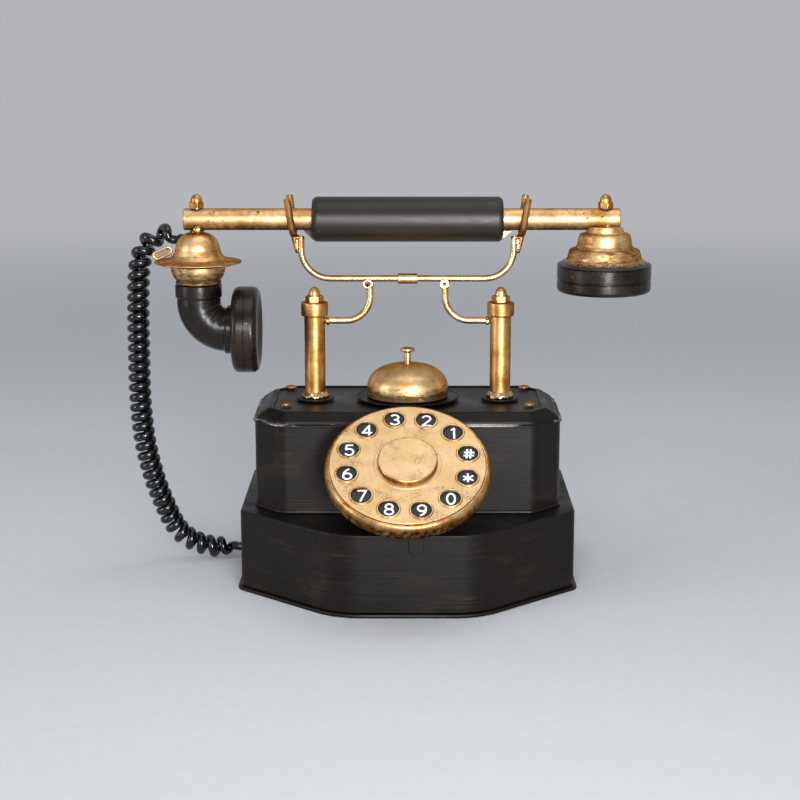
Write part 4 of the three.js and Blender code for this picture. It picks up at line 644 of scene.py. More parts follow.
rail_gold = antique_gold("antique gold lacquer on rod", "#F3D6A6", "#D2A468", "#3A2614", cover=0.4,
                         rough=0.26, shaded=0.8)
fork_gold = antique_gold("dark antique gold", "#D2A066", "#96683A", "#2C1C10", cover=0.6, rough=0.36,
                         hammer=0.2)
cut_gold = antique_gold("cut end of a brass rod", "#FBE6BC", "#E9CB94", "#8F6E42", cover=0.12,
                        rough=0.3, shaded=0)
for sign, side in ((-1, "left"), (1, "right")):
    arm_spots = ((57.2, ARM_Z), (ARM_TOP_X, ARM_Z), (ARM_TOP_X, CROSS_Z))
    arm = rod([(sign * x, POST_Y, z) for x, z in arm_spots], [17], ARM_R)
    bore = 1.9 if sign < 0 else 1.0
    crossing = turned(eased([(bore, -5), (3.7, -5, 0.9), (3.7, 5, 0.9), (bore, 5)], 0.35, 5), 48)
    crossing = lumpy(moved(crossing, about("X", 90),
                           to(sign * ARM_TOP_X + (-1.6 if sign < 0 else -0.5), POST_Y, CROSS_Z)), 0.25,
                           2.5)
    braze = lumpy(ball(sign * 55.6, POST_Y, ARM_Z - 0.2, 1.9, 3.2, 3.1), 0.5, 1.7, sign * 3)
    piece(f"arm_rod_{side}", merged(arm, crossing), rail_gold, "base", f"arm_{side}")
    piece(f"arm_braze_{side}", braze, weld_gold, "base")
    rail_spots = ((0.3, RAIL_Z), (RAIL_TURN_X, RAIL_Z), (RAIL_TURN_X, RAIL_END_Z))
    rail = rod([(sign * x, POST_Y, z) for x, z in rail_spots], [20], RAIL_R, sides=32)
    piece(f"rail_rod_{side}", rail, rail_gold, "base", f"cradle_rail_{side}")
    low, high = RAIL_END_Z - 0.05, RAIL_END_Z + 0.02
    face = turned([(0, low), (1.75, low), (1.75, high), (0, high)], 28)
    piece(f"rail_cut_{side}", moved(face, to(sign * RAIL_TURN_X, POST_Y, 0)), cut_gold, "base")

    opening = math.radians(FORK_HALF_ANGLE)
    meet = FORK_ROUND / math.sin(opening) - FORK_ROUND
    spread = (FORK_RISE + meet) * math.tan(opening)
    stand = (about("Y", sign * FORK_LEAN), to(sign * FORK_X, POST_Y, FORK_LOW_Z))
    prongs = rod([(0, -spread, FORK_RISE), (0, 0, -meet), (0, spread, FORK_RISE)], [FORK_ROUND], FORK_R,
                 sides=28)
    foot_x = RAIL_TURN_X + RAIL_R + 1.2
    foot_line = [Vector((sign * (foot_x + (FORK_X - foot_x) * t), POST_Y,
                         FORK_FOOT_Z + (FORK_LOW_Z - FORK_FOOT_Z) * t))
                 for t in (0, 0.05, 0.15, 0.4, 0.7, 1)]
    foot = swept(foot_line, [0.5, 0.9, 1.2, 1.5, 1.9, 2.2], 24)
    web = skinned([[
        (sign * (RAIL_TURN_X + RAIL_R + 0.1), POST_Y + y, 231.1 + low),
        (sign * (foot_x + 0.5), POST_Y + y, 231.1 + low),
        (sign * (foot_x + 1.9), POST_Y + y, 239.4 - low),
        (sign * (RAIL_TURN_X + RAIL_R + 0.1), POST_Y + y, 239.4 - low),
    ] for y, low in ((-1.1, 0.5), (-0.8, 0), (0.8, 0), (1.1, 0.5))])
    piece(f"fork_rod_{side}", merged(moved(prongs, *stand), foot), fork_gold, "base", f"fork_{side}")
    piece(f"fork_web_{side}", web, rail_gold, "base")
    seam = merged(ball(sign * (RAIL_TURN_X + RAIL_R + 0.6), POST_Y, 239.6, 1.7, 2.6, 1.9),
                  ball(sign * (RAIL_TURN_X + RAIL_R + 0.7), POST_Y, 230.3, 1.4, 2.4, 1.8))
    piece(f"fork_braze_{side}", lumpy(seam, 0.5, 1.9, sign * 5), weld_gold, "base")
    for way, end in ((-1, "front"), (1, "back")):
        along = Vector((0, way * math.sin(opening), math.cos(opening)))
        tip = along.to_track_quat("Z", "Y").to_matrix().to_4x4()
        disc = turned([(0, -0.1), (1.8, -0.1), (1.8, 0.03), (0, 0.03)], 28)
        disc = moved(disc, tip, to(0, way * spread, FORK_RISE), *stand)
        piece(f"fork_cut_{side}_{end}", disc, cut_gold, "base")

sleeve = turned(eased([(2.5, -6.75), (3.65, -6.75), (3.65, 6.75), (2.5, 6.75)], 0.35), 48)
piece("rail_sleeve", moved(sleeve, about("Y", 90), to(0, POST_Y, RAIL_Z)), rail_gold,
      "base", "cradle_sleeve")

# ---------------------------------------------------------------- bell
# A spun brass gong over a shallow black dish. A guide tube holds it, and the stem of a push button
# slides in that; inside, the stem rocks a lever that throws a small hammer at the gong.
BELL = to(0, 16, LID_TOP)
GONG_R = 28.5
GONG_RIM = 2.3
GONG_SKIRT = 4
GONG_DOME = 18.5
GONG_TOP = 24.8


def gong_crown(radius, height, steps):
    """The dome's curve, fuller in its shoulder than a circle."""
    return [(radius * max(c, 0) ** 0.82, GONG_RIM + GONG_SKIRT + height * s ** 0.82)
            for c, s in arc(0, 0, 1, 1, 0, 76, steps)]


dish = turned(eased([(0, 0.3), (34, 0.3), (36, 1.2), (36, 2.2), (34, 1.3), (0, 1.3)], 0.4), 120)
piece("bell_dish_painted", moved(dish, BELL), case_paint, "base", "bell_dish")
gong_gold = antique_gold("spun brass gong", "#F2D2A0", "#CE9C62", "#3E2613", cover=0.25, rough=0.4,
                         hammer=0.15, shaded=0.4, darkening_heights=(129, 141))
gong = turned([
    (3.8, GONG_TOP - 1.2), (7, GONG_TOP - 1.2),
    *reversed(gong_crown(GONG_R - 1.2, GONG_DOME - 1.2, 16)),
    (GONG_R - 1.2, GONG_RIM + 0.2), (GONG_R - 0.9, GONG_RIM), (GONG_R - 0.1, GONG_RIM),
    (GONG_R, GONG_RIM + 0.3), (GONG_R - 0.15, GONG_RIM + 1.1), (GONG_R - 0.3, GONG_RIM + 2.0),
    *gong_crown(GONG_R - 0.05, GONG_DOME, 28), (7, GONG_TOP), (3.8, GONG_TOP),
], 144)
piece("gong", moved(gong, BELL), gong_gold, "base", "bell_gong", sharp=50)
guide = turned(eased([(2.6, 1.6), (5.4, 1.6), (5.4, 2.6), (3.5, 2.6), (3.5, 25.4), (2.6, 25.4)], 0.25),
               40)
piece("stem_guide", moved(guide, BELL), rail_gold, "base", "bell_guide")
button = turned(eased([
    (0, 14.5), (2.3, 14.5), (2.3, 32.6, 0.3), (3.4, 33.4, 0.8), (4.6, 33.5, 0.8), (5.1, 34.2, 0.6),
    (5.1, 35.0, 0.6), (4.6, 35.6, 0.6), (0, 35.8),
], 0.3), 64)
piece("push_button", moved(button, BELL), rail_gold, "bell_button", "bell_button")

# ---------------------------------------------------------------- dial
# A deep spun pan with a thick rolled rim carries the finger wheel: a matt gold plate with twelve
# eyeleted holes, turning over a fixed black number plate, with a flat cap on its spindle.
DIAL = (about("X", 34), to(0, -87.4, 104.31))
WHEEL_R = 50.6
HOLE_R = 6.7
HOLE_PITCH_R = 40.4
HOLE_START = 12.5  # degrees from +X to the first hole
PLATE_FACE = -1.4
STROKE_R = 0.56  # half the width of a printed line
SIX = (arc(0, -1.5, 2.2, 2.1, 0, 360, 28), arc(2.1, -1.5, 4.3, 5.3, 104, 180, 10))
CHARACTERS = (
    ([(-1.2, -3.2), (-0.7, 3.2)], [(0.8, -3.2), (1.3, 3.2)],
     [(-2.5, 1.15), (2.8, 1.15)], [(-2.8, -1.15), (2.5, -1.15)]),
    ([(-1.3, 2.3), (0.5, 3.7), (0.5, -3.7)],),
    ([*arc(0, 1.65, 2.25, 2.05, 165, -38, 14), (-2.3, -3.7), (2.3, -3.7)],),
    (arc(-0.2, 1.85, 2.1, 1.85, 150, -90, 14), arc(-0.2, -1.8, 2.35, 1.9, 90, -150, 16)),
    ([(1.2, -3.7), (1.2, 3.7), (-2.4, -1.7), (2.4, -1.7)],),
    ([(2.0, 3.7), (-1.6, 3.7), (-1.9, 0.5), *arc(-0.1, -1.35, 2.3, 2.35, 118, -145, 18)],),
    SIX,
    ([(-2.3, 3.7), (2.3, 3.7), (-0.7, -3.7)],),
    (arc(0, 1.9, 1.85, 1.75, 0, 360, 24), arc(0, -1.8, 2.25, 1.9, 0, 360, 28)),
    tuple([(-x, -y) for x, y in line] for line in SIX),
    (arc(0, 0, 2.15, 3.7, 0, 360, 36),),
    ([(0, -2.9), (0, 2.9)], [(-2.5, -1.45), (2.5, 1.45)], [(-2.5, 1.45), (2.5, -1.45)]),
)


def pierced(shape, *tools):
    """The shape with the tools cut out of it."""
    def solid(part):
        mesh = bpy.data.meshes.new("cutting")
        mesh.from_pydata([tuple(c) for c in part[0]], [], part[1])
        work = bmesh.new()
        work.from_mesh(mesh)
        bmesh.ops.remove_doubles(work, verts=work.verts, dist=1e-4)
        bmesh.ops.recalc_face_normals(work, faces=work.faces)
        work.to_mesh(mesh)
        work.free()
        made = bpy.data.objects.new("cutting", mesh)
        bpy.context.collection.objects.link(made)
        return made
    block, knife = solid(shape), solid(merged(*tools))
    cut = block.modifiers.new("cut", "BOOLEAN")
    cut.object, cut.operation, cut.solver = knife, "DIFFERENCE", "EXACT"
    done = block.evaluated_get(bpy.context.evaluated_depsgraph_get()).to_mesh()
    result = [v.co.copy() for v in done.vertices], [tuple(p.vertices) for p in done.polygons]
    bpy.data.objects.remove(block)
    bpy.data.objects.remove(knife)
    return result


# The rim's lower side is darkened with strong painted shade, beginning where it still faces up a
# little.
rim_gold = antique_gold("rolled rim, waxed, painted shade below", "#F0C88E", "#B9783A", "#2E1A0B", cover=0.5, rough=0.3,
                        hammer=0.35, shaded=1.0, turned_from=0.45)
face_gold = antique_gold("matt gold lacquer", "#EFCF9F", "#E3BE88", "#75654F", cover=0.08, rough=0.5,
                         hammer=0.06, shaded=0, smudged=True)
eyelet_gold = antique_gold("pressed eyelet", "#FBDCA6", "#CC955A", "#2E1C0E", cover=0.5, rough=0.32,
                           hammer=0.12, shaded=0.7, turned_from=0.5)
cap_gold = antique_gold("turned edge of the cap", "#F0C488", "#B0743A", "#3A2110", cover=0.5,
                        rough=0.27, hammer=0.15, shaded=1.0, turned_from=0.3)

pan = turned([
    (0, -15.5), (40, -15.5), *arc(47.4, -8.5, 7, 7, -90, 0, 14), *arc(51.4, -6, 3, 5, 6, 84, 10),
    (51.4, -1.02), (51.4, -3.9), (48.4, -3.9), (46.4, -13.5), (0, -13.5),
], 160)
piece("pan_spun", moved(pan, *DIAL), rim_gold, "base", "dial_pan", sharp=45)


def number_enamel():
    """Matt black enamel: a dry, even black with a fine light speckle of dust in it."""
    enamel = Finish("matt black enamel")
    speck = enamel.noise(0.6, 4)
    return enamel.done("number_black", enamel.mix(enamel.ramp(speck, 0.42, 0.72), "#101014", "#36363C"),
                       enamel.ramp(speck, 0.3, 0.7, 0.5, 0.68), enamel.bump(0.4, 0.05, speck), IOR=1.5)


def print_white():
    """White screen printing: flat and slightly chalky, thinner here and there."""
    chalk = Finish("white printing")
    thin = chalk.noise(1.5, 3)
    return chalk.done("number_black", chalk.mix(thin, "#FFFFFF", "#E9EBF0"),
                      chalk.ramp(thin, 0.3, 0.7, 0.42, 0.6), IOR=1.5)


def stroke(spots):
    """One line of printing, as wide at its corners as along its runs."""
    runs = []
    for a, b in zip(spots, spots[1:]):
        runs.append(swept([a, b], [STROKE_R, STROKE_R], 12))
        runs.append(moved(turned([(0, -1), *arc(0, 0, 1, 1, -60, 60, 4), (0, 1)], 14),
                          Matrix.Diagonal((STROKE_R, STROKE_R, STROKE_R, 1)), to(*b)))
    return merged(*runs)


plate = turned([(6.4, -2.4), (WHEEL_R, -2.4), (WHEEL_R, PLATE_FACE), (6.4, PLATE_FACE)], 96)
piece("number_plate_enamelled", moved(plate, *DIAL), number_enamel(), "base", "number_plate")
white = print_white()
hole_spots = []
for i, character in enumerate(CHARACTERS):
    angle = math.radians(HOLE_START + 30 * i)
    hole_spots.append((HOLE_PITCH_R * math.cos(angle), HOLE_PITCH_R * math.sin(angle)))
    x, y = hole_spots[-1]
    lines = [stroke([Vector((*spot, 0)) for spot in line]) for line in character]
    lettering = moved(merged(*lines), Matrix.Diagonal((1.18, 1.18, 0.07, 1)),
                      to(x + 0.4, y + 0.9, PLATE_FACE + 0.02), *DIAL)
    piece(f"printed_character_{i}", lettering, white, "base")

disc = turned(eased([
    (0, -1), (WHEEL_R + 0.35, -1, 0), (WHEEL_R + 0.35, 0, 0.5), (22.35, 0, 0), (22.05, 0.5, 0.2),
    (0, 0.5),
], 0.2), 144)
bore = turned([(0, -4), (HOLE_R + 0.5, -4), (HOLE_R + 0.5, 3), (0, 3)], 48)
bores = [moved(bore, to(x, y, 0)) for x, y in hole_spots]
piece("wheel_plate", moved(pierced(disc, *bores), *DIAL), face_gold, "dial_wheel", "finger_wheel")
ring = turned(eased([(HOLE_R, -0.95), (HOLE_R + 0.6, -0.95), (HOLE_R + 0.6, -0.2), (8.1, 0.03, 0.2),
                     (7.85, 0.5, 0.4),
                     (7.3, 0.75, 0.3), (HOLE_R + 0.1, 0.75, 0.3), (HOLE_R, 0.5, 0.2)], 0.1), 56)
eyelets = merged(*(moved(ring, to(x, y, 0)) for x, y in hole_spots))
piece("eyelets", moved(eyelets, *DIAL), eyelet_gold, "dial_wheel")
cap_side = eased([(19.2, 0.8), (19.5, 0.8), (19.5, 3.9, 0.5), (18.9, 4.35), (18.4, 4.3), (18.4, 0.8)],
                 0.2)
piece("cap_edge", moved(turned(cap_side, 120), *DIAL), cap_gold, "dial_wheel")
cap_face = turned(eased([(0, 0.8), (18.6, 0.8, 0), (18.95, 4.37, 0.5), (0, 4.4)], 0.3), 120)
piece("cap_top", moved(cap_face, *DIAL), face_gold, "dial_wheel", "dial_cap")

# ---------------------------------------------------------------- dial strap
# A bent steel strap, riveted inside the nose of the case, carries the pan. Its round end shows.
STRAP_X = 5.5
STRAP_FOOT = 47.9
STRAP_R = 4.9  # half the strap's width, and the radius of its end
strap_end = [(STRAP_R * math.cos(a),
              STRAP_R * math.sin(a)) for a in (math.pi + math.pi * k / 24 for k in range(25))]
rows = []
for grow, depth in ((-0.5, -92.3), (-0.12, -92.15), (0, -91.8), (0, -90.3)):
    scale = 1 + grow / STRAP_R
    rows.append([(STRAP_X + x * scale, depth, STRAP_FOOT + y * scale) for x, y in strap_end]
                + [(STRAP_X + STRAP_R + grow, depth, 87), (STRAP_X - STRAP_R - grow, depth, 87)])
tongue = skinned([
    [(STRAP_X - STRAP_R, y, z), (STRAP_X + STRAP_R, y, z),
     (STRAP_X + STRAP_R, y + 1.1, z - 1.7), (STRAP_X - STRAP_R, y + 1.1, z - 1.7)]
    for y, z in ((-92.2, 82.2), (-79.2, 90.9))
])
piece("strap_bent", merged(skinned(rows), tongue), case_paint, "base", "dial_strap")

# ---------------------------------------------------------------- handset tube and grip
# A drawn brass tube with a turned black sleeve pushed over its middle. Two studs pass up through
# it and end in domed nuts; they hold the mouthpiece and the earpiece.
TUBE_Z = 252.05
EAR_X = 136
ALONG = (about("Y", 90), to(0, POST_Y, TUBE_Z))


def worn_sleeve():
    """Satin black phenolic sleeve: brown-black, with flecks of copper towards its ends."""
    sleeve = Finish("satin black sleeve")
    broad = sleeve.noise(22, 5)
    grain = sleeve.noise(0.9, 4, stretch=(0.12, 1.0, 1.0))
    away = sleeve.step("Math", {0: sleeve.step("SeparateXYZ", {0: sleeve.place}, "X")},
                       operation="ABSOLUTE")
    ends = sleeve.ramp(away, 40 * MM, 65 * MM, 0.0, 0.2)
    chips = sleeve.ramp(sleeve.calc("ADD", sleeve.noise(2.6, 4, 0.7), ends), 0.83, 0.86)
    return sleeve.done(
        "grip_black", sleeve.mix(chips, sleeve.mix(broad, "#0F0B09", "#211A16"), "#A46A35"),
        sleeve.ramp(grain, 0.3, 0.7, 0.34, 0.46), sleeve.bump(0.25, 0.08, grain),
        Specular_IOR_Level=0.4)


tube_gold = antique_gold("drawn brass tube", "#E8C490", "#BE8A52", "#3A2412", cover=0.52, rough=0.44,
                         hammer=0.2, shaded=0.95, turned_from=0.15)
tube = turned(eased([(0, -154), (7.5, -154, 0.9), (7.5, 146, 0.9), (0, 146)], 0.9, 5), 64)
piece("tube_drawn", moved(tube, *ALONG), tube_gold, "handset", "handset_tube")
sleeve_black = worn_sleeve()
grip = turned(eased([
    (7.8, -65.5), (13.4, -65.5, 0.9), (15.2, -63.6, 0.9), (15.5, -62, 1), (15.5, 62, 1),
    (15.2, 63.6, 0.9), (13.4, 65.5, 0.9), (7.8, 65.5),
], 0.4, 5), 96)
gusset_shapes = {}
for sign, side in ((-1, "left"), (1, "right")):
    outline = [(sign * 63.5, 244.2), (sign * 63.5, 238.2), (sign * 65.0, 237.9), (sign * 71.4, 244.2)]
    gusset_shapes[side] = skinned([
        [(x, POST_Y + y, z + (lift if z < 242 else 0)) for x, z in outline]
        for y, lift in ((-2.5, 0.5), (-2.1, 0), (2.1, 0), (2.5, 0.5))
    ])
piece("grip_sleeve", merged(moved(grip, *ALONG), gusset_shapes["left"]), sleeve_black, "handset",
      "handset_grip")
piece("grip_gusset", gusset_shapes["right"], tube_gold, "handset")
for x, side in ((MOUTH_X, "mouthpiece"), (EAR_X, "earpiece")):
    nut = moved(domed_nut(9.2, 4.1, 4.0, 5.3), about("Z", 12), to(x, POST_Y, TUBE_Z + 7.8))
    piece(f"tube_nut_{side}", nut, cradle_gold, "handset", f"{side}_nut")
    solder = lumpy(ball(x + 1, POST_Y - 6.2, 245.4, 3.2, 2.6, 3.4), 0.5, 2.2, x)
    piece(f"solder_bead_{side}", solder, weld_gold, "handset")

# ---------------------------------------------------------------- mouthpiece
# A spun bowler-hat brim under the tube, a small spun cup below it, a moulded black elbow and a
# round moulded cap with sound holes that holds the transmitter.
DOME_TOP = 242.75
DOME_LOW = 229.75
BRIM_Z = 222.95
CUP_TOP = 220.25
CUP_LOW = 207.45
ELBOW_TOP = 207.15
ELBOW_R = 15.2
ELBOW_BEND = 20
ELBOW_DROP = 12
ELBOW_TAIL = 3.3  # how far its end runs on into the cap
ELBOW_SIDES = 64
FOLD_DEPTH = 1.1
FOLDS = 9  # half waves of the folds on the inside of the bend
MOUTH_Z = ELBOW_TOP - ELBOW_DROP - ELBOW_BEND
MOUTH_BACK = -121.4
MOUTH_CAP_R = 30
MOUTH_CAP_DEPTH = 18.2

# The brim and cup carry painted shade on their undersides, and grow darker towards the bottom.
brim_gold = antique_gold("spun brim, waxed, painted shade below", "#F8D6A2", "#CE985A", "#33200F", cover=0.25, rough=0.4,
                         hammer=0.12, shaded=0.85, darkening_heights=(196, 244))
mouth_place = to(MOUTH_X, POST_Y, 0)
spacer = turned(eased([(2.8, 243.1), (5, 243.1), (5, 244.3), (2.8, 244.3)], 0.3), 40)
piece("spacer_ring", moved(spacer, mouth_place), cradle_gold, "handset", "mouthpiece_spacer")
hat = eased([
    (0, DOME_TOP), (5, DOME_TOP), *arc(5, DOME_LOW, 10.5, DOME_TOP - DOME_LOW, 86, 8, 18),
    (16.9, DOME_LOW - 2.1, 2),
    (20.25, BRIM_Z + 1.8, 3), (25.25, BRIM_Z + 0.9, 3), (30.1, BRIM_Z, 0.4), (30.1, BRIM_Z - 0.7, 0.4),
    (27.25, BRIM_Z - 1.5, 3), (19.4, BRIM_Z - 2.4, 1), (17, BRIM_Z - 2.4), (17, BRIM_Z + 0.4),
    (12, 236), (0, 241.2),
], 1.5, 4)
piece("hat_brim", lumpy(moved(turned(hat, 128), mouth_place), 0.18, 9), brim_gold, "handset",
      "mouthpiece_brim")
cup = eased([
    (17.3, CUP_TOP, 0.2), (12.9, CUP_LOW, 0.2), (15.1, CUP_LOW, 0.5), (15.8, CUP_LOW + 0.7, 0.6),
    (15.8, CUP_LOW + 1.5, 0.6),
    (15.0, CUP_LOW + 2.3, 0.3), (15.4, CUP_LOW + 3.0, 0.5), (17.2, CUP_LOW + 5.0, 3),
    (18.5, CUP_LOW + 8.6, 4), (18.8, CUP_TOP - 0.3, 0.3),
], 0.4, 5)
piece("spun_cup", moved(turned(cup, 112), mouth_place), brim_gold, "handset", "mouthpiece_cup")


def moulded_black(name, dark, brown, sheen=0.3, flecks=0.0):
    """Moulded phenolic or rubber: semi-gloss brown-black with fine mould texture, hairline marks
    and, where flecks is over nought, copper flecks."""
    mould = Finish(name)
    broad, grain = mould.noise(15, 5), mould.noise(0.9, 3)
    cracks = mould.step("TexVoronoi", {"Vector": mould.place, "Scale": 1000 / 5},
                        feature="DISTANCE_TO_EDGE")
    tint = mould.mix(mould.ramp(broad, 0.35, 0.65), dark, brown)
    if flecks:
        chips = mould.ramp(mould.noise(2.2, 5, 0.7), 0.72 - 0.1 * flecks, 0.75 - 0.1 * flecks)
        tint = mould.mix(chips, tint, "#9C6733")
    fine = mould.bump(0.18, 0.05, grain)
    lined = mould.bump(0.12, 0.05, mould.ramp(cracks, 0.0, 0.02), fine)
    return mould.done("moulded_black", tint, mould.ramp(broad, 0.3, 0.7, sheen - 0.05, sheen + 0.1),
                      mould.bump(0.3, 0.35, mould.noise(4, 3), lined), Specular_IOR_Level=0.3)


elbow_black = moulded_black("moulded rubber elbow", "#0A0806", "#1B1410", sheen=0.24)
cap_black = moulded_black("moulded phenolic cap", "#0F0B08", "#211811", sheen=0.26, flecks=0.6)

stations = [(0, 0, 15.4), (0.25, 0, 15.95), (0.7, 0, 16.2), (8.2, 0, 16.2), (8.75, 0, 15.9),
            (9.1, 0, ELBOW_R + 0.05),
            (9.5, 0, ELBOW_R), (10.5, 0, ELBOW_R), (ELBOW_DROP - 0.3, 0, ELBOW_R)]
stations += [(ELBOW_DROP, turn, ELBOW_R) for turn in range(0, 85, 2)]
stations += [(ELBOW_DROP, 85, ELBOW_R), (ELBOW_DROP, 86.5, 16.4), (ELBOW_DROP, 87.5, 16.9),
             (ELBOW_DROP, 90, 17)]
elbow_rows = []
for drop, turn, radius in [*stations, (ELBOW_DROP, 91, 17)]:
    angle = math.radians(min(turn, 90))
    out = Vector((-math.cos(angle), 0, -math.sin(angle)))
    centre = Vector((MOUTH_X + ELBOW_BEND, POST_Y, ELBOW_TOP - drop)) + out * ELBOW_BEND
    if turn > 90:
        centre.x += ELBOW_TAIL
    share = turn / 90
    fold = 0
    if 0 < share < 1:
        fold = math.sin(math.pi * share) * (0.35 + 0.65 * math.cos(math.pi * (FOLDS * share - 1)))
    row = []
    for k in range(ELBOW_SIDES):
        around = 2 * math.pi * k / ELBOW_SIDES
        inside = max(0.0, -math.cos(around)) ** 1.5
        wide = radius - FOLD_DEPTH * fold * inside
        row.append(centre + out * wide * math.cos(around) + Vector((0, wide * math.sin(around), 0)))
    elbow_rows.append(row)
piece("elbow_moulded", skinned(elbow_rows), elbow_black, "handset", "mouthpiece_elbow", sharp=60)


def holes_through(low, high):
    """Cutters for one sound hole in the middle and six round it."""
    spots = [(0, 0)] + [(9 * math.cos(math.pi * k / 3),
                         9 * math.sin(math.pi * k / 3)) for k in range(6)]
    return [moved(turned([(0, low), (1.4, low), (1.4, high), (0, high)], 20), to(x, y, 0)) for x,
            y in spots]


depth, R = MOUTH_CAP_DEPTH, MOUTH_CAP_R - 0.05
face = depth - 2.2
mouth_cap = turned([
    (0, face - 2), (24, face - 2), (28, face - 5), (28, 4), (26, 2), (10.5, 2), (10.5, 0.3), (10.8, 0),
    (R - 4.6, 0),
    *arc(R - 4.5, 4.5, 4.5, 4.5, -84, 0, 8), (R, depth / 2 - 0.35), (R - 0.3, depth / 2 - 0.1),
    (R - 0.3, depth / 2 + 0.1), (R, depth / 2 + 0.35), *arc(R - 4.5, depth - 4.5, 4.5, 4.5, 0, 84, 8),
    (R - 5.5, depth - 0.05), (R - 9, face + 0.3), (R - 10, face + 0.05), (0, face),
], 128)
piece("mouth_cap_moulded", moved(pierced(mouth_cap, *holes_through(face - 4, depth)),
                                 about("Y", 90), to(MOUTH_BACK, POST_Y, MOUTH_Z)),
      cap_black, "handset", "mouthpiece_cap")

# ---------------------------------------------------------------- earpiece
# A bell-shaped shell spun in two steps and lacquered, its skirt sprayed black over the gold, and a
# moulded black cap below with a groove round its middle.
ear_gold = antique_gold("spun shell, hammered", "#EECB96", "#BE884E", "#382413", cover=0.34, rough=0.4,
                        hammer=0.3, shaded=0.6, darkening_heights=(190, 262))


def skirt_lacquer():
    """Black lacquer sprayed over gold and rubbed back: brown-black with gold showing in rough
    patches, more of it towards the step above."""
    skirt = Finish("rubbed black lacquer on gold")
    patch = skirt.noise(1.8, 7, 0.72)
    upper = skirt.ramp(skirt.height(), 221.0 * MM, 225.2 * MM, -0.14, 0.2)
    gold = skirt.ramp(skirt.calc("ADD", patch, upper), 0.5, 0.66)
    return skirt.done("antique_gold", skirt.mix(gold, "#17110C", "#C99A62"),
                      skirt.ramp(patch, 0.3, 0.7, 0.3, 0.42), skirt.bump(0.5, 0.2, patch),
                      Metallic=gold)


ear_place = to(EAR_X, POST_Y, 0)
TROUGH_R = 7.8
shell = eased([
    (0, 241.2), (15.9, 241.2), (17.8, 231), (22.9, 229.5), (24.7, 222.2), (26.2, 224.4, 0.3),
    (25.6, 225.4, 2.2), (24.4, 231.2, 2.6), (20.4, 232.4, 1.6), (19.1, 234.2, 2.2), (17.5, 241.9, 2.4),
    (13.6, 242.8, 0.9), (13, 243.6, 0.8), (13, 247.5, 1.0), (11, 247.55), (0, 247.6),
], 0.5, 6)
trough = moved(turned([(0, -40), (TROUGH_R, -40), (TROUGH_R, 40), (0, 40)], 64), about("Y", 90),
               to(0, 0, TUBE_Z))
shell = moved(pierced(turned(shell, 128), trough), ear_place)
piece("shell_spun", lumpy(shell, 0.25, 6), ear_gold, "handset", "earpiece_shell")
skirt = eased([
    (24.2, 224.2), (30, 220.35), (32.35, 220.3, 0.3), (32.55, 220.9, 0.4), (29.6, 222.4, 3),
    (26.5, 224.6, 0.5),
], 0.3, 5)
piece("shell_skirt", lumpy(moved(turned(skirt, 128), ear_place), 0.15, 5), skirt_lacquer(), "handset")

EAR_CAP_R = 32.45
EAR_CAP_TOP = 220.0
EAR_CAP_LOW = 201.9
R, floor, middle = EAR_CAP_R, EAR_CAP_LOW + 2.2, 210.5
ear_cap = turned([
    (0, floor), (R - 11, floor), (R - 10, floor - 0.15), (R - 7.4, EAR_CAP_LOW + 0.1),
    (R - 6.8, EAR_CAP_LOW),
    *arc(R - 3, EAR_CAP_LOW + 3, 3, 3, -88, 0, 8), (R, middle - 0.9), (R - 0.75, middle - 0.25),
    (R - 0.75, middle + 0.25),
    (R, middle + 0.9), (R, EAR_CAP_TOP - 0.6), (R - 0.5, EAR_CAP_TOP), (R - 2, EAR_CAP_TOP),
    (R - 2, floor + 3.5), (R - 3.5, floor + 2), (0, floor + 2),
], 144)
piece("ear_cap_moulded", moved(pierced(ear_cap, *holes_through(EAR_CAP_LOW - 1, floor + 4)), ear_place),
      cap_black, "handset", "earpiece_cap")

# ---------------------------------------------------------------- cord fittings
# A moulded outlet behind the mouthpiece, a moulded gland where the cord goes into the case, and a
# small stamped link that stands on the brim beside the outlet.
end = DOME_AT_OUTLET + OUTLET_LENGTH
outlet = turned(eased([(0, 13.5), (4.2, 13.5, 0), (4.2, end, 0.9), (0, end)], 0.5, 5), 40)
outlet = moved(outlet, about("Y", 90), about("Z", OUTLET_TURN),
               to(MOUTH_X, POST_Y, OUTLET_Z))
piece("outlet_moulded", outlet, elbow_black, "handset", "cord_outlet")
gland = turned(eased([(0, -4.5), (3.2, -4.5, 0), (3.2, 0.3, 0), (4.8, 0.3, 0.3), (4.8, 3, 0.9), (0, 3)],
                     0.5, 5), 40)
gland = moved(gland, about("Y", -90), to(-115, GLAND.y, GLAND.z))
piece("gland_moulded", gland, elbow_black, "base", "cord_gland")

link_line = []
for k in range(64):
    angle = 2 * math.pi * k / 64
    half = 4 if k < 16 or k > 47 else -4  # the middle of the link's round end
    link_line.append(Vector((2.5 * math.cos(angle) + half, 0, math.sin(angle) * 2.5)))
link_rows = []
for k, spot in enumerate(link_line):
    onward = (link_line[(k + 1) % 64] - link_line[k - 1]).normalized()
    out = onward.cross(Vector((0, 1, 0)))
    link_rows.append([spot + out * math.cos(a) + Vector((0, 0.8 * math.sin(a), 0))
                      for a in (2 * math.pi * i / 12 for i in range(12))])
bar_across = swept([Vector((-4.5, 0.1, -0.6)), Vector((4.5, 0.1, 0.6))], [0.75, 0.75], 12)
link = moved(merged(skinned(link_rows, ring=True), bar_across), about("Y", -24), to(-169.2, 13, 228.66))
piece("link_stamped", link, rail_gold, "handset", "cord_link")

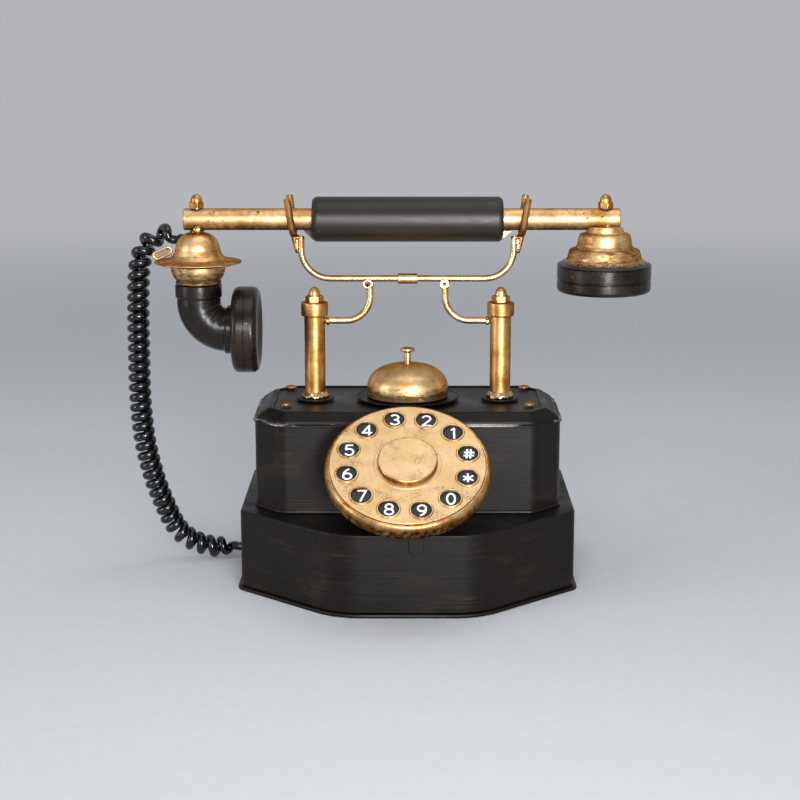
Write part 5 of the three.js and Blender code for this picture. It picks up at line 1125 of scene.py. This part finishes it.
# ---------------------------------------------------------------- hidden steel
# Springs, studs, bolts, the hammer and the capsules are plain turned, wound or pressed steel.
def plain_steel():
    """Machined steel: cool grey with fine turning marks and a thin brown film of old oil."""
    metal = Finish("plain machined steel")
    film, marks = metal.noise(6, 5), metal.noise(0.5, 3, stretch=(0.1, 0.1, 1.0))
    return metal.done(None, metal.mix(film, "#A5A5A6", "#766A5C"),
                      metal.ramp(marks, 0.3, 0.7, 0.28, 0.46),
                      metal.bump(0.2, 0.04, marks), Metallic=1.0)


steel, _ = plain_steel()
for name in ("post_bolt_left", "post_bolt_right", "button_spring", "bell_hammer", "hammer_bracket",
             "dial_spring", "dial_spindle", "mouthpiece_stud", "earpiece_stud", "transmitter_capsule",
             "receiver_capsule"):
    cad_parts[name].data.materials.clear()
    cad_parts[name].data.materials.append(steel)

# ---------------------------------------------------------------- floor and light
# A pale matt floor that runs out into a pale room. A broad soft lamp stands in front and above, a
# small one low beside it, one on the left, and a large one hangs overhead.
FLOOR_COLOUR = "#B4B6B9"
FLOOR_R = 2.6  # metres, where the floor has turned into the room's own colour

matt = Finish("pale matt floor")
tree = matt.tree
grain = matt.step("TexNoise", {"Vector": matt.place, "Scale": 90.0, "Detail": 4.0})
floor_material, _ = matt.done(None, matt.mix(grain, "#DADCDF", "#D3D5D8"), 0.8, Specular_IOR_Level=0.2)
glow = matt.step("Emission", {0: linear(FLOOR_COLOUR), 1: 1.0})
reach = matt.step("VectorMath", {0: matt.place}, "Value", operation="LENGTH")
fade = matt.step("MapRange", {0: reach, 1: 0.7, 2: FLOOR_R}, interpolation_type="SMOOTHSTEP")
blend = matt.step("MixShader", {0: fade, 1: tree.nodes["Principled BSDF"].outputs[0], 2: glow})
add(tree, tree.nodes["Material Output"], {"Surface": blend})
floor_mesh = bpy.data.meshes.new("floor")
floor_mesh.from_pydata([(-30, -30, 0), (30, -30, 0), (30, 30, 0), (-30, 30, 0)], [], [(0, 1, 2, 3)])
floor_mesh.materials.append(floor_material)
floor_object = bpy.data.objects.new("floor", floor_mesh)
bpy.context.collection.objects.link(floor_object)

world = bpy.data.worlds.new("room")
bpy.context.scene.world = world
world.use_nodes = True
tree = world.node_tree
seen = add(tree, "LightPath")
direct = add(tree, "Math", {0: seen.outputs["Is Camera Ray"], 1: seen.outputs["Is Glossy Ray"]},
             operation="MAXIMUM")
either = add(tree, "Math", {0: direct.outputs[0], 1: seen.outputs["Is Transmission Ray"]},
             operation="MAXIMUM")
room = add(tree, "Mix", {0: either.outputs[0], 6: linear("#A2A5A9"), 7: linear(FLOOR_COLOUR)},
           data_type="RGBA")
add(tree, tree.nodes["Background"], {"Color": room.outputs[2], "Strength": 1.0})

for name, spot, aim, size, power, spread in (
    ("key lamp", (0.1, -1.5, 0.58), (0, 0, 0.16), (1.0, 0.3), 6.5, 120),
    ("low lamp", (0.24, -1.4, 0.19), (0, 0, 0.17), (0.3, 0.16), 1.6, 60),
    ("left lamp", (-1.45, -0.6, 0.4), (0, 0, 0.12), (0.4, 0.8), 3.5, 140),
    ("overhead lamp", (0.1, -0.1, 1.35), (0, 0, 0.12), (1.2, 0.7), 3.6, 180),
):
    lamp = bpy.data.lights.new(name, "AREA")
    lamp.shape = "RECTANGLE"
    lamp.size, lamp.size_y = size
    lamp.energy = power
    lamp.spread = math.radians(spread)
    made = bpy.data.objects.new(name, lamp)
    made.location = spot
    made.rotation_euler = (Vector(aim) - Vector(spot)).to_track_quat("-Z", "Y").to_euler()
    bpy.context.collection.objects.link(made)
